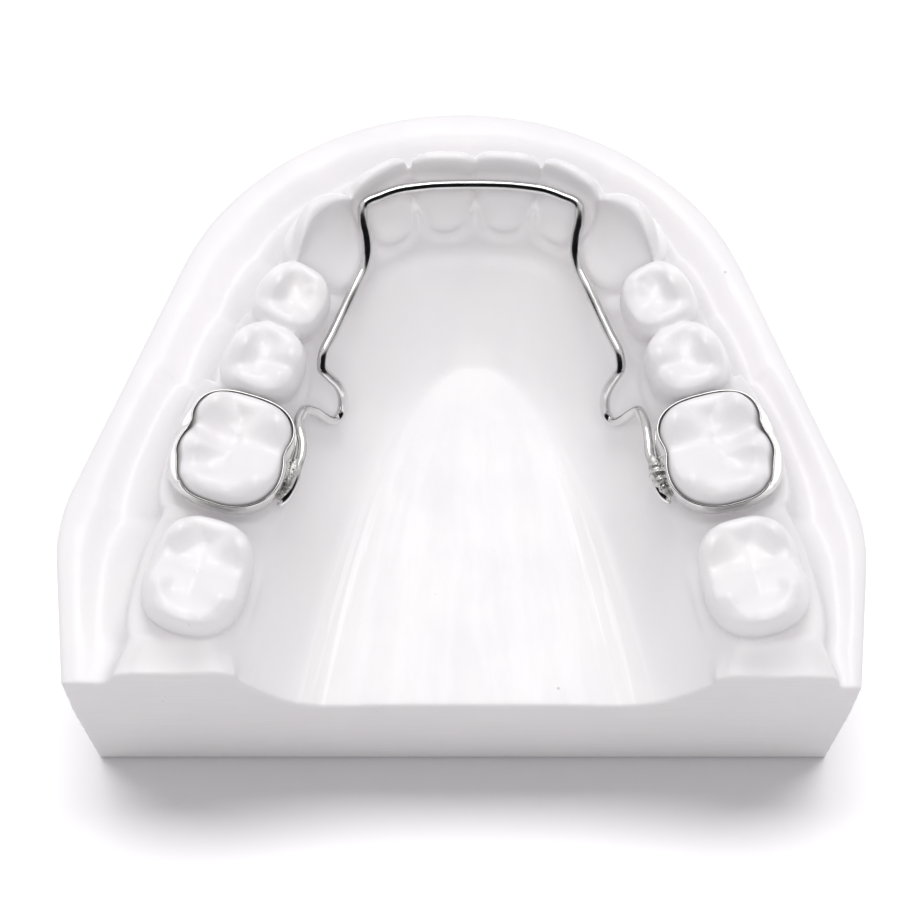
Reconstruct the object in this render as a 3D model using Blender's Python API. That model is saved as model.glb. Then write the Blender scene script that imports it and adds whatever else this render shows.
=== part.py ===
"""White plaster study model of a lower dental arch, carrying a soldered lingual arch.

The appliance is two thin steel bands on the first molars, joined by a bent wire that runs behind the
teeth. Sizes are millimetres until a mesh is made. The heel, the trimmed back of the cast, faces -Y, the
incisors face +Y, and the trimmed underside is z = 0.
"""

import math

import bmesh
import bpy
import numpy as np

MM = 0.001

# Dental arch: the line of the crowns' centres at the gum
ARCH_DEPTH = 41.3
ARCH_TO_HEEL = 3.65
ARCH_FRONT_FROM_HEEL = ARCH_DEPTH + ARCH_TO_HEEL
ARCH_HALF_WIDTH = 24.8
ARCH_POWER = 3.15
ARCH_SHIFT = 1.15

# Plaster base: a trimmed horseshoe with a round front, straight sides and a flat heel, set off from the arch
FRONT_LAND = 12.55
SIDE_LAND = 10.7
HEEL_LAND = 9.4
BASE_LENGTH = ARCH_FRONT_FROM_HEEL + FRONT_LAND
BASE_WIDTH = 2 * (ARCH_HALF_WIDTH + SIDE_LAND)
HEEL_WIDTH = 2 * (ARCH_HALF_WIDTH + HEEL_LAND)
FRONT_RADIUS = ARCH_HALF_WIDTH + 3.5
CANINE_CORNER_DEGREES = 58.4
WIDEST_FROM_HEEL = 15.5
CORNER_ROUNDING = 7.0
WALL_DRAFT = 0.085
RIM_FLARE = 0.45
EDGE_ROUND = 0.5
LAND_FRONT_Z = 15.0
LAND_LEFT_HEEL_Z = 19.6
LAND_RIGHT_HEEL_Z = 18.4
SULCUS_DEPTH = 1.3
SULCUS_SHARE = 0.45
LAND_RISE_POWER = 1.6

# Tongue space between the two sides
FLOOR_Z = 14.1
FLOOR_SIDE_INSET = 10.5
FLOOR_FRONT_INSET = 12.75
FLOOR_HEEL_HALF_WIDTH = ARCH_HALF_WIDTH - FLOOR_SIDE_INSET
FLOOR_TIP_FROM_HEEL = ARCH_FRONT_FROM_HEEL - FLOOR_FRONT_INSET
FLOOR_POWER = 0.45
FLOOR_RUN_POWER = 1.6
LINGUAL_SLOPE_POWER = 1.6
LINGUAL_DROP = 1.1

# Gum
GUM_Z = 21.0
PAPILLA_HEIGHT = 2.2
MOLAR_PAPILLA_SHARE = 0.62
MOLAR_PAPILLA_LEAD = 1.2
BUCCAL_PINCH, LINGUAL_PINCH = 0.22, 0.30
GUM_ROLL = 0.55
RETROMOLAR_LEFT_Z = 21.4
RETROMOLAR_RIGHT_Z = 20.5
RETROMOLAR_HALF_WIDTH = 4.4
RETROMOLAR_START = 2.0
RETROMOLAR_FADE = 3.0

# Crowns: width along the arch, depth from cheek to tongue, height above the gum
CENTRAL_WIDTH, CENTRAL_DEPTH, CENTRAL_HEIGHT = 5.6, 6.0, 7.3
LATERAL_WIDTH, LATERAL_DEPTH, LATERAL_HEIGHT = 5.9, 6.2, 7.0
CANINE_WIDTH, CANINE_DEPTH, CANINE_HEIGHT = 7.3, 7.2, 8.2
FIRST_PREMOLAR_WIDTH, FIRST_PREMOLAR_DEPTH, FIRST_PREMOLAR_HEIGHT = 6.2, 6.7, 7.5
SECOND_PREMOLAR_WIDTH, SECOND_PREMOLAR_DEPTH, SECOND_PREMOLAR_HEIGHT = 6.6, 7.4, 7.0
FIRST_MOLAR_WIDTH, FIRST_MOLAR_DEPTH, FIRST_MOLAR_HEIGHT = 10.3, 10.2, 6.8
SECOND_MOLAR_WIDTH, SECOND_MOLAR_DEPTH, SECOND_MOLAR_HEIGHT = 10.6, 9.2, 6.4
CONTACT_OVERLAP = 0.12
BEHIND_BAND_GAP = 0.85
ROOT_DEPTH = 3.5
FRONT_CONTACT = 0.14
INCISOR_EDGE, CANINE_EDGE = 0.9, 1.3
INCISOR_BOW, CANINE_BOW = 0.2, 1.2
BOW_ZERO_SHARE = 0.35
EDGE_OFFSET = 1.1
EDGE_BULGE_SHARE = 0.3
LINGUAL_HOLLOW = 0.45
FOSSA_DEPTH = 2.4
CUSP_INNER_DISTAL, CUSP_INNER_BUCCAL = 0.62, 0.22
MARGIN_DEPTH = 1.3
CUSP_SLOPE, MARGIN_SLOPE, CREST_MESIAL_SLOPE = 1.15, 0.9, 0.55
CUSP_ROUNDING = 0.6
FURROW_HALF_WIDTH = 0.9
POSTERIOR_LEAN = -0.09

# Turn of each crown from the arch line in degrees, from the central incisor to the second molar
LEFT_TURNS = [3, -6, 4, 6, 3, 3, 5]
RIGHT_TURNS = [-2, -4, 6, 4, 2, 0, 2]

# Molar bands
BAND_WALL = 0.2
BAND_CLEARANCE = 0.12
BAND_TOP = 4.9
BAND_BOTTOM = 1.3
BAND_SCALLOP = 1.3
BAND_TOP_DIP = 0.35
BAND_NEIGHBOUR_GAP = 0.15
BAND_FURROW_SHARE = 0.25

# Lingual arch wire
WIRE_DIAMETER = 0.9
WIRE_SEAT_GAP = 0.1
WIRE_FRONT_Z = 26.1
WIRE_SHIFT = -0.35
LOOP_LOW_Z = 18.6
LOOP_TOP_Z = 23.2

# Solder
SOLDER_START = 0.35
SOLDER_LENGTH = 4.1
SOLDER_HALF_WIDTH = 0.7
SOLDER_BASE = 0.2
SOLDER_RISE = 0.92
SOLDER_TOWARD_BAND = 0.3
SOLDER_END_SHARE = 0.14
SOLDER_BLUNTNESS = 0.55
SOLDER_GAP = 0.04

# Facets
GUM_STATIONS = 79
ANTERIOR_SIDES = 22
PREMOLAR_SIDES = 26
MOLAR_SIDES = 32
SOLDER_RINGS = 9
SOLDER_SIDES = 10
ANTERIOR_ROWS = 8
WALL_ROWS = 6
TOP_ROWS = 6
BAND_ROWS = 5
WIRE_STEP = 0.6
WIRE_TURN = 10.0
WIRE_LONGEST_STEP = 3.0
SHARP_DEGREES = 40

HEEL_Y = -BASE_LENGTH / 2
FRONT_Y = BASE_LENGTH / 2
WIRE_RADIUS = WIRE_DIAMETER / 2


def through(knots, at):
    """Values at the given places of a smooth curve through (place, value) knots."""
    places, values = np.array(knots, float).T
    slopes = np.gradient(values, places)
    at = np.clip(at, places[0], places[-1])
    i = np.clip(np.searchsorted(places, at) - 1, 0, len(places) - 2)
    span = places[i + 1] - places[i]
    q = (at - places[i]) / span
    return (
        (1 + 2 * q) * (1 - q) ** 2 * values[i]
        + q * (1 - q) ** 2 * span * slopes[i]
        + q * q * (3 - 2 * q) * values[i + 1]
        + q * q * (q - 1) * span * slopes[i + 1]
    )


def smooth_max(heights, sharpness=3.8):
    """Greatest of several heights, with the valleys between them rounded."""
    stack = np.array(heights)
    top = stack.max(axis=0)
    return top + np.log(np.exp(sharpness * (stack - top)).sum(axis=0)) / sharpness


# Arch line


def arch_table():
    """Distance from the midline, x and y along one half of the arch, as far as the heel."""
    end = ARCH_HALF_WIDTH * (ARCH_FRONT_FROM_HEEL / ARCH_DEPTH) ** (1 / ARCH_POWER)
    x = np.linspace(0, end, 600)
    y = HEEL_Y + ARCH_FRONT_FROM_HEEL - ARCH_DEPTH * (x / ARCH_HALF_WIDTH) ** ARCH_POWER
    run = np.concatenate([[0], np.cumsum(np.hypot(np.diff(x), np.diff(y)))])
    return run, x, y


ARCH_RUN, ARCH_X, ARCH_Y = arch_table()
ARCH_LENGTH = ARCH_RUN[-1]


def arch_frame(side, run):
    """Point of the arch line, its distal direction and its outward direction; side is -1 left, 1 right."""
    x = np.interp(run, ARCH_RUN, ARCH_X)
    y = np.interp(run, ARCH_RUN, ARCH_Y)
    step = 0.5
    ahead, behind = min(run + step, ARCH_LENGTH), max(run - step, 0)
    dx = np.interp(ahead, ARCH_RUN, ARCH_X) - np.interp(behind, ARCH_RUN, ARCH_X)
    dy = np.interp(ahead, ARCH_RUN, ARCH_Y) - np.interp(behind, ARCH_RUN, ARCH_Y)
    long = math.hypot(dx, dy)
    dx, dy = dx / long, dy / long
    point = np.array([side * x + ARCH_SHIFT, y])
    return point, np.array([side * dx, dy]), np.array([side * -dy, dx])


# Crowns


def ridge(u, v, start, end, slope, mesial_slope=None):
    """Height field of a sloping ridge line between two (u, v, height) ends, flatter on its mesial side."""
    (u0, v0, h0), (u1, v1, h1) = start, end
    along = np.clip(((u - u0) * (u1 - u0) + (v - v0) * (v1 - v0)) / ((u1 - u0) ** 2 + (v1 - v0) ** 2), 0, 1)
    gap = np.hypot(u - u0 - along * (u1 - u0), v - v0 - along * (v1 - v0))
    rounded = np.sqrt(gap * gap + CUSP_ROUNDING ** 2) - CUSP_ROUNDING
    if mesial_slope:
        slope = np.where(u < u0 + along * (u1 - u0), mesial_slope, slope)
    return h0 + along * (h1 - h0) - slope * rounded


# Each cusp is (distal, buccal, drop): its place in half widths and half depths, and how far its tip lies
# below the crown's height. A crest joins two such tips, and a marginal ridge two places.
FIRST_PREMOLAR_CUSPS = [(-0.02, 0.34, 0.0), (-0.05, -0.58, 2.2)]
SECOND_PREMOLAR_CUSPS = [(-0.04, 0.44, 0.0), (-0.24, -0.56, 0.6), (0.42, -0.52, 0.9)]
FIRST_MOLAR_CUSPS = [(-0.60, 0.50, 0.25), (0.22, 0.54, 0.3), (0.76, 0.32, 0.8), (-0.56, -0.56, 0.0),
                     (0.56, -0.58, 0.2)]
SECOND_MOLAR_CUSPS = [(-0.54, 0.50, 0.2), (0.46, 0.54, 0.4), (-0.54, -0.54, 0.0), (0.42, -0.56, 0.25)]
FIRST_MOLAR_CRESTS = [((0.56, -0.58, 0.2), (0.80, -0.15, 0.8)), ((0.80, -0.15, 0.8), (0.76, 0.32, 0.8))]
SECOND_MOLAR_CRESTS = [((0.42, -0.56, 0.25), (0.78, -0.32, 0.7)), ((0.78, -0.32, 0.7), (0.85, 0.0, 0.8)),
                       ((0.85, 0.0, 0.8), (0.78, 0.32, 0.7)), ((0.78, 0.32, 0.7), (0.46, 0.54, 0.4))]
PREMOLAR_MARGINS = [((-0.70, 0.25), (-0.62, -0.35)), ((0.70, 0.25), (0.66, -0.35))]
MOLAR_MARGINS = [((-0.80, 0.30), (-0.80, -0.35))]


def incisor(width, depth, height, slope, corner, edge, bow):
    """Slope and corner say how far the mesial and distal halves of the edge fall; bow curves it outward."""
    return dict(form="anterior", width=width, depth=depth, height=height, slope=slope, corner=corner,
                edge=edge, bow=bow, sides=ANTERIOR_SIDES)


def grinder(width, depth, height, cusps, crests, margins, sides, furrows):
    return dict(form="posterior", width=width, depth=depth, height=height, cusps=cusps, crests=crests,
                margins=margins, sides=sides, furrows=furrows)


TEETH = [
    incisor(CENTRAL_WIDTH, CENTRAL_DEPTH, CENTRAL_HEIGHT, (0.0, 0.1), (0.7, 0.9), INCISOR_EDGE, INCISOR_BOW),
    incisor(LATERAL_WIDTH, LATERAL_DEPTH, LATERAL_HEIGHT, (0.0, 0.6), (0.9, 1.4), INCISOR_EDGE, INCISOR_BOW),
    incisor(CANINE_WIDTH, CANINE_DEPTH, CANINE_HEIGHT, (1.2, 1.8), (0.9, 1.3), CANINE_EDGE, CANINE_BOW),
    grinder(FIRST_PREMOLAR_WIDTH, FIRST_PREMOLAR_DEPTH, FIRST_PREMOLAR_HEIGHT,
            FIRST_PREMOLAR_CUSPS, [], PREMOLAR_MARGINS, PREMOLAR_SIDES, []),
    grinder(SECOND_PREMOLAR_WIDTH, SECOND_PREMOLAR_DEPTH, SECOND_PREMOLAR_HEIGHT,
            SECOND_PREMOLAR_CUSPS, [], PREMOLAR_MARGINS, PREMOLAR_SIDES, [(0.1, -1, 0.2)]),
    grinder(FIRST_MOLAR_WIDTH, FIRST_MOLAR_DEPTH, FIRST_MOLAR_HEIGHT,
            FIRST_MOLAR_CUSPS, FIRST_MOLAR_CRESTS, MOLAR_MARGINS, MOLAR_SIDES,
            [(-0.25, 1, 0.4), (0.42, 1, 0.3), (-0.08, -1, 0.08)]),
    grinder(SECOND_MOLAR_WIDTH, SECOND_MOLAR_DEPTH, SECOND_MOLAR_HEIGHT,
            SECOND_MOLAR_CUSPS, SECOND_MOLAR_CRESTS, MOLAR_MARGINS, MOLAR_SIDES,
            [(-0.05, 1, 0.4), (-0.04, -1, 0.3)]),
]
BANDED = len(TEETH) - 2


def tooth_spans():
    """Where each tooth begins and ends along the arch, with room for the band and a gap behind it."""
    spans, start = [], 0.0
    for number, tooth in enumerate(TEETH):
        room = tooth["width"] - CONTACT_OVERLAP
        if number == BANDED:
            room = tooth["width"] + 2 * (BAND_CLEARANCE + BAND_WALL + BAND_NEIGHBOUR_GAP)
        if number == BANDED + 1:
            start += BEHIND_BAND_GAP
        spans.append((start, start + room))
        start += room
    return spans


SPANS = tooth_spans()


def rounded_outline(angles, half_width, buccal, lingual, power):
    """Rounded rectangle around the crown, as distal and buccal distances."""
    c, s = np.cos(angles), np.sin(angles)
    u = half_width * np.sign(c) * np.abs(c) ** (2 / power)
    v = np.where(s > 0, buccal, lingual) * np.sign(s) * np.abs(s) ** (2 / power)
    return u, v


def chewing_height(tooth, u, v):
    """Height of the chewing surface above the gum at distal u and buccal v."""
    half_width, half_depth, height = tooth["width"] / 2, tooth["depth"] / 2, tooth["height"]
    fields = [np.full_like(u, height - FOSSA_DEPTH - 0.25)]
    for distal, buccal, drop in tooth["cusps"]:
        tip = (distal * half_width, buccal * half_depth, height - drop)
        inner_z = height - max(0.8 * FOSSA_DEPTH, drop + 0.4)
        inner = (tip[0] * CUSP_INNER_DISTAL, tip[1] * CUSP_INNER_BUCCAL, inner_z)
        fields.append(ridge(u, v, tip, inner, CUSP_SLOPE))
    for ends in tooth["crests"]:
        start, end = [(distal * half_width, buccal * half_depth, height - drop)
                      for distal, buccal, drop in ends]
        fields.append(ridge(u, v, start, end, CUSP_SLOPE, CREST_MESIAL_SLOPE))
    for ends in tooth["margins"]:
        (u0, v0), (u1, v1) = np.array(ends) * (half_width, half_depth)
        level = height - MARGIN_DEPTH
        fields.append(ridge(u, v, (u0, v0, level), (u1, v1, level), MARGIN_SLOPE))
    return smooth_max(fields)


# How far a side wall stands out at shares of the way from gum to rim
WIDTH_SWELL = [(0.0, 0.82), (0.3, 0.91), (0.7, 1.0), (1.0, 0.93)]
BUCCAL_SWELL = [(0.0, 0.93), (0.3, 1.0), (0.65, 0.95), (1.0, 0.80)]
LINGUAL_SWELL = [(0.0, 0.90), (0.45, 1.0), (0.75, 0.97), (1.0, 0.85)]


def posterior_wall(tooth, angles, rise, offset=0.0, furrow_share=1.0):
    """Side wall points at a share of the way up from gum to rim, moved outward by offset."""
    power = 2.25 + 0.5 * rise
    u, v = rounded_outline(angles, tooth["width"] / 2 * through(WIDTH_SWELL, rise),
                           tooth["depth"] / 2 * through(BUCCAL_SWELL, rise),
                           tooth["depth"] / 2 * through(LINGUAL_SWELL, rise), power)
    for where, face, deep in tooth["furrows"]:
        near = np.exp(-(((u - where * tooth["width"] / 2) / FURROW_HALF_WIDTH) ** 2)) * (np.sign(v) == face)
        v = v - face * deep * furrow_share * rise * near
    if offset:
        du, dv = np.roll(u, -1) - np.roll(u, 1), np.roll(v, -1) - np.roll(v, 1)
        long = np.hypot(du, dv)
        u, v = u + offset * dv / long, v - offset * du / long
    return u, v


def posterior_rings(tooth, angles):
    """Rings of a premolar or molar, from its root to the middle of its chewing surface."""
    rim_u, rim_v = posterior_wall(tooth, angles, 1.0)
    rim = chewing_height(tooth, rim_u, rim_v)
    u, v = posterior_wall(tooth, angles, 0.0)
    rings = [(u * 0.9, v * 0.9, np.full_like(u, -ROOT_DEPTH))]
    for rise in np.linspace(0, 1, WALL_ROWS) ** 0.8:
        u, v = posterior_wall(tooth, angles, rise)
        rings.append((u, v, rim * rise))
    for share in np.linspace(1, 0, TOP_ROWS, endpoint=False)[1:]:
        rings.append((rim_u * share, rim_v * share, chewing_height(tooth, rim_u * share, rim_v * share)))
    middle = np.zeros(1)
    return rings, (0.0, 0.0, float(chewing_height(tooth, middle, middle)[0]))


def lingual_face(tooth, rise):
    """Outward place of an incisor's lingual face in its middle, at a share of the crown's height."""
    half = tooth["depth"] / 2
    inner_edge = EDGE_OFFSET - tooth["edge"] / 2
    return through([(0.0, -0.96 * half), (0.14, -half), (0.36, -0.55 * half), (0.65, -0.08 * half),
                    (1.0, inner_edge)], rise)


def labial_face(tooth, rise):
    half = tooth["depth"] / 2
    outer_edge = EDGE_OFFSET + tooth["edge"] / 2
    return through([(0.0, 0.93 * half), (0.2, half), (0.5, 0.9 * half), (0.8, outer_edge + 0.2),
                    (1.0, outer_edge)], rise)


def anterior_rings(tooth, angles):
    """Rings of an incisor or canine, from its root to the incisal edge."""
    half_width, height = tooth["width"] / 2 + FRONT_CONTACT, tooth["height"]
    rings = []
    for rise in [-ROOT_DEPTH / height, *(np.linspace(0, 1, ANTERIOR_ROWS) ** 0.95)]:
        up = max(rise, 0.0)
        front, back = labial_face(tooth, up), lingual_face(tooth, up)
        wide = half_width * through([(0.0, 0.84), (0.35, 0.94), (0.8, 1.0), (1.0, 0.95)], up)
        u, v = rounded_outline(angles, wide, (front - back) / 2, (front - back) / 2, 2.0 + 1.3 * up)
        hollow = LINGUAL_HOLLOW * math.sin(math.pi * min(max((up - 0.2) / 0.8, 0), 1))
        v = v + (front + back) / 2 + (v < 0) * hollow * (1 - (u / wide) ** 2)
        v = v + tooth["bow"] * (BOW_ZERO_SHARE - (u / wide) ** 2) * up ** 2
        slope, corner = [np.where(u > 0, tooth[key][1], tooth[key][0]) for key in ("slope", "corner")]
        out = np.abs(u / half_width)
        rings.append((u, v, rise * height - (slope * out ** 1.5 + corner * out ** 6) * up ** 1.5))
    u, v, w = rings[-1]
    bulge = EDGE_BULGE_SHARE * tooth["edge"]
    middle = EDGE_OFFSET + tooth["bow"] * (BOW_ZERO_SHARE - (u / wide) ** 2)
    rings.append((u * 0.94, middle + (v - middle) * 0.55, w + bulge * 0.7))
    return rings, (0.0, EDGE_OFFSET + tooth["bow"] * BOW_ZERO_SHARE, height + bulge)


def place(side, number, u, v, w):
    """World place, in mm, of crown points given as distal, buccal and height above the gum."""
    tooth = TEETH[number]
    start, end = SPANS[number]
    centre, distal, outward = arch_frame(side, (start + end) / 2)
    turn = math.radians((LEFT_TURNS if side < 0 else RIGHT_TURNS)[number])
    if tooth["form"] == "posterior":
        v = v + POSTERIOR_LEAN * np.maximum(w, 0)
    turned_u = u * math.cos(turn) - v * math.sin(turn)
    turned_v = u * math.sin(turn) + v * math.cos(turn)
    plan = centre[None] + np.outer(turned_u, distal) + np.outer(turned_v, outward)
    return np.column_stack([plan, GUM_Z + w])


def crown(side, number):
    """Vertices and faces of one closed crown."""
    tooth = TEETH[number]
    angles = np.linspace(0, 2 * math.pi, tooth["sides"], endpoint=False)
    form_rings = anterior_rings if tooth["form"] == "anterior" else posterior_rings
    rings, apex = form_rings(tooth, angles)
    rows = [place(side, number, *ring) for ring in rings]
    tip = place(side, number, *(np.array([value]) for value in apex))
    return closed_rows(rows, tip)


def closed_rows(rows, tip=None):
    """Closed surface over equal rings; the first ring is capped flat, the last by a point or flat."""
    count = len(rows[0])
    vertices = np.vstack(rows + ([tip] if tip is not None else []))
    faces = [list(range(count))]
    for r in range(len(rows) - 1):
        for k in range(count):
            a, b = r * count + k, r * count + (k + 1) % count
            faces.append([a, b, b + count, a + count])
    last = (len(rows) - 1) * count
    if tip is None:
        faces.append([last + k for k in range(count)])
    else:
        faces += [[last + k, last + (k + 1) % count, last + count] for k in range(count)]
    return vertices, faces


# Base and gum


def base_outline(shares):
    """Plan points of the base's rim on the right half, from the front (0) to the heel corner (1)."""
    sweep = math.radians(CANINE_CORNER_DEGREES)
    arc = np.linspace(0, sweep, 24)
    centre_y = FRONT_Y - FRONT_RADIUS
    x = list(FRONT_RADIUS * np.sin(arc)) + [BASE_WIDTH / 2, HEEL_WIDTH / 2]
    y = list(centre_y + FRONT_RADIUS * np.cos(arc)) + [HEEL_Y + WIDEST_FROM_HEEL, HEEL_Y]
    run = np.concatenate([[0], np.cumsum(np.hypot(np.diff(x), np.diff(y)))])
    samples = []
    for offset in np.linspace(-0.5, 0.5, 9) * CORNER_ROUNDING:
        at = shares * run[-1]
        at = at + offset * np.clip((run[-1] - at) / CORNER_ROUNDING, 0, 1)
        samples.append([np.interp(np.abs(at), run, x) * np.sign(at + 1e-9), np.interp(np.abs(at), run, y)])
    x, y = np.mean(samples, axis=0)
    return x, y + FRONT_Y - y[0]


def plain_half_width(run):
    """Half width of the gum at a distance along the arch, without its scallops."""
    middles = [(start + end) / 2 for start, end in SPANS] + [SPANS[-1][1] + RETROMOLAR_START]
    halves = [tooth["depth"] / 2 for tooth in TEETH] + [RETROMOLAR_HALF_WIDTH]
    return float(np.interp(run, middles, halves)) + GUM_ROLL


def gum_levels(run):
    """At a distance along the arch: buccal and lingual half widths of the gum, and its papilla's height."""
    for number, (start, end) in enumerate(SPANS):
        if run <= end:
            break
    half = TEETH[number]["depth"] / 2
    if run > SPANS[-1][1]:
        fade = min((run - SPANS[-1][1]) / RETROMOLAR_FADE, 1.0)
        fade = fade * fade * (3 - 2 * fade)
        buccal, lingual = [half * (1 - pinch) * (1 - fade) + RETROMOLAR_HALF_WIDTH * fade + GUM_ROLL
                           for pinch in (BUCCAL_PINCH, LINGUAL_PINCH)]
        return buccal, lingual, PAPILLA_HEIGHT * MOLAR_PAPILLA_SHARE * (1 - 0.7 * fade)
    near_contact = min(abs(2 * (run - start) / (end - start) - 1), 1.0) ** 3
    by_molars = run > SPANS[BANDED][0] - MOLAR_PAPILLA_LEAD
    papilla = PAPILLA_HEIGHT * (MOLAR_PAPILLA_SHARE if by_molars else 1.0)
    buccal = half * (1 - BUCCAL_PINCH * near_contact) + GUM_ROLL
    lingual = half * (1 - LINGUAL_PINCH * near_contact) + GUM_ROLL
    return buccal, lingual, papilla * near_contact


# Rows beside the gum margin: (outward of it, above it); then shares of the way down the tongue side
BUCCAL_ROWS = [(-0.45, 0.0), (0.0, -0.3), (0.35, -1.1), (0.6, -2.3)]
LINGUAL_ROWS = [(-0.45, 0.0), (0.0, -0.35)]
SLOPE_SHARES = [0.0, 0.16, 0.36, 0.6, 0.82, 1.0]
FLOOR_SHARES = [0.5, 1.0]


def station(share):
    """Section of base and gum at a share of the arch, -1 left heel, 0 front, 1 right heel, outside in."""
    side = -1 if share < 0 else 1
    run = abs(share) * ARCH_LENGTH
    middle, _, _ = arch_frame(side, run)
    (rim_x,), (rim_y,) = base_rim(np.array([abs(share)]))
    rim = np.array([side * rim_x, rim_y])
    buccal, lingual, papilla = gum_levels(run)
    back = max(0.0, (run - SPANS[-1][0]) / (ARCH_LENGTH - SPANS[-1][0]))
    heel_crest = RETROMOLAR_LEFT_Z if side < 0 else RETROMOLAR_RIGHT_Z
    margin = GUM_Z + (heel_crest - GUM_Z) * back ** 2 + papilla
    land_heel = LAND_LEFT_HEEL_Z if side < 0 else LAND_RIGHT_HEEL_Z
    land = LAND_FRONT_Z + (land_heel - LAND_FRONT_Z) * abs(share) ** LAND_RISE_POWER

    outward = rim - middle
    reach = float(np.hypot(*outward))
    outward = outward / reach
    base = rim - outward * WALL_DRAFT * land
    base[1] = max(base[1], HEEL_Y)
    rows = [(*base, 0.0), (*(rim - outward * RIM_FLARE), land * 0.6), (*rim, land - EDGE_ROUND),
            (*(rim - outward * EDGE_ROUND), land)]
    sulcus = buccal + SULCUS_SHARE * (reach - buccal)
    dip = SULCUS_DEPTH * (1 - back)
    for away, z in ((0.5 * (reach + sulcus), land + 0.15), (sulcus, land - dip * 0.8),
                    (0.5 * (sulcus + buccal + 0.6), max(land, margin - papilla - 4.4) - 0.2 * dip)):
        rows.append((*(middle + outward * away), z))
    for step, fall in reversed(BUCCAL_ROWS):
        rows.append((*(middle + outward * (buccal + step)), margin + fall * (1 - 0.5 * back)))
    rows.append((*middle, margin + 0.1))

    tip_y = HEEL_Y + FLOOR_TIP_FROM_HEEL
    way = abs(share) ** FLOOR_RUN_POWER
    foot = np.array([ARCH_SHIFT + side * FLOOR_HEEL_HALF_WIDTH * way ** FLOOR_POWER,
                     tip_y - FLOOR_TIP_FROM_HEEL * way])
    inward = foot - middle
    reach = float(np.hypot(*inward))
    inward = inward / reach
    for step, fall in LINGUAL_ROWS:
        rows.append((*(middle + inward * (lingual + step)), margin + fall))
    top = plain_half_width(run) + 0.3
    top_z = margin - papilla - LINGUAL_DROP
    for part in SLOPE_SHARES:
        z = FLOOR_Z + (top_z - FLOOR_Z) * (1 - part) ** LINGUAL_SLOPE_POWER
        rows.append((*(middle + inward * (top + (reach - top) * part)), z))
    for part in FLOOR_SHARES:
        rows.append((foot[0] + (ARCH_SHIFT - foot[0]) * part, foot[1], FLOOR_Z))
    return np.array(rows)


OUTLINE_SHARES = np.linspace(0, 1, 200)
OUTLINE_X, OUTLINE_Y = base_outline(OUTLINE_SHARES)


def base_rim(shares):
    return np.interp(shares, OUTLINE_SHARES, OUTLINE_X), np.interp(shares, OUTLINE_SHARES, OUTLINE_Y)


def base_and_gum(stations):
    """One closed body: underside, walls, vestibule, gum and tongue space."""
    sections = [station(share) for share in np.linspace(-1, 1, stations)]
    rows = len(sections[0])
    vertices = np.vstack(sections)
    faces = []
    for s in range(stations - 1):
        for r in range(rows - 1):
            a = s * rows + r
            faces.append([a, a + 1, a + rows + 1, a + rows])
    last = (stations - 1) * rows
    faces.append([s * rows for s in range(stations)])
    faces.append(list(range(rows)) + [last + r for r in range(rows - 2, -1, -1)])
    return vertices, faces


# Meshes and objects


def new_object(name, vertices, faces, material, merge=0.0):
    """Object from points in mm, its faces turned outward."""
    mesh = bpy.data.meshes.new(name)
    mesh.from_pydata([tuple(v) for v in np.asarray(vertices) * MM], [], faces)
    bm = bmesh.new()
    bm.from_mesh(mesh)
    if merge:
        bmesh.ops.remove_doubles(bm, verts=bm.verts, dist=merge * MM)
        bmesh.ops.dissolve_degenerate(bm, edges=bm.edges, dist=merge * MM)
    bmesh.ops.recalc_face_normals(bm, faces=bm.faces)
    bm.to_mesh(mesh)
    bm.free()
    mesh.shade_smooth()
    mesh.set_sharp_from_angle(angle=math.radians(SHARP_DEGREES))
    obj = bpy.data.objects.new(name, mesh)
    bpy.context.scene.collection.objects.link(obj)
    if material:
        mesh.materials.append(material)
    return obj


def hide_tool(obj):
    """A helper stays out of the render and shows as wire."""
    obj.hide_render = True
    obj.display_type = "WIRE"
    return obj


def finish(name, colour, roughness, metallic):
    material = bpy.data.materials.new(name)
    material.use_nodes = True
    shader = material.node_tree.nodes["Principled BSDF"]
    shader.inputs["Base Color"].default_value = (*colour, 1)
    shader.inputs["Roughness"].default_value = roughness
    shader.inputs["Metallic"].default_value = metallic
    return material


def study_model(plaster):
    """The cast: base and gum with the fourteen crowns united to it."""
    vertices, faces = base_and_gum(GUM_STATIONS)
    cast = new_object("study_model", vertices, faces, plaster, merge=0.01)
    crowns = bpy.data.collections.new("crowns")
    bpy.context.scene.collection.children.link(crowns)
    for side, word in ((-1, "left"), (1, "right")):
        for number in range(len(TEETH)):
            vertices, faces = crown(side, number)
            tool = hide_tool(new_object(f"crown_{word}_{number + 1}", vertices, faces, plaster))
            bpy.context.scene.collection.objects.unlink(tool)
            crowns.objects.link(tool)
    union = cast.modifiers.new("crowns", "BOOLEAN")
    union.operation = "UNION"
    union.operand_type = "COLLECTION"
    union.collection = crowns
    union.solver = "EXACT"
    return cast


def band_edges(angles):
    """Lower and upper edge of a band above the gum: lower under the cusps, raised over the papillae."""
    toward_contact = np.abs(np.cos(angles)) ** 4
    return BAND_BOTTOM + BAND_SCALLOP * toward_contact, BAND_TOP - BAND_TOP_DIP * toward_contact


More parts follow.
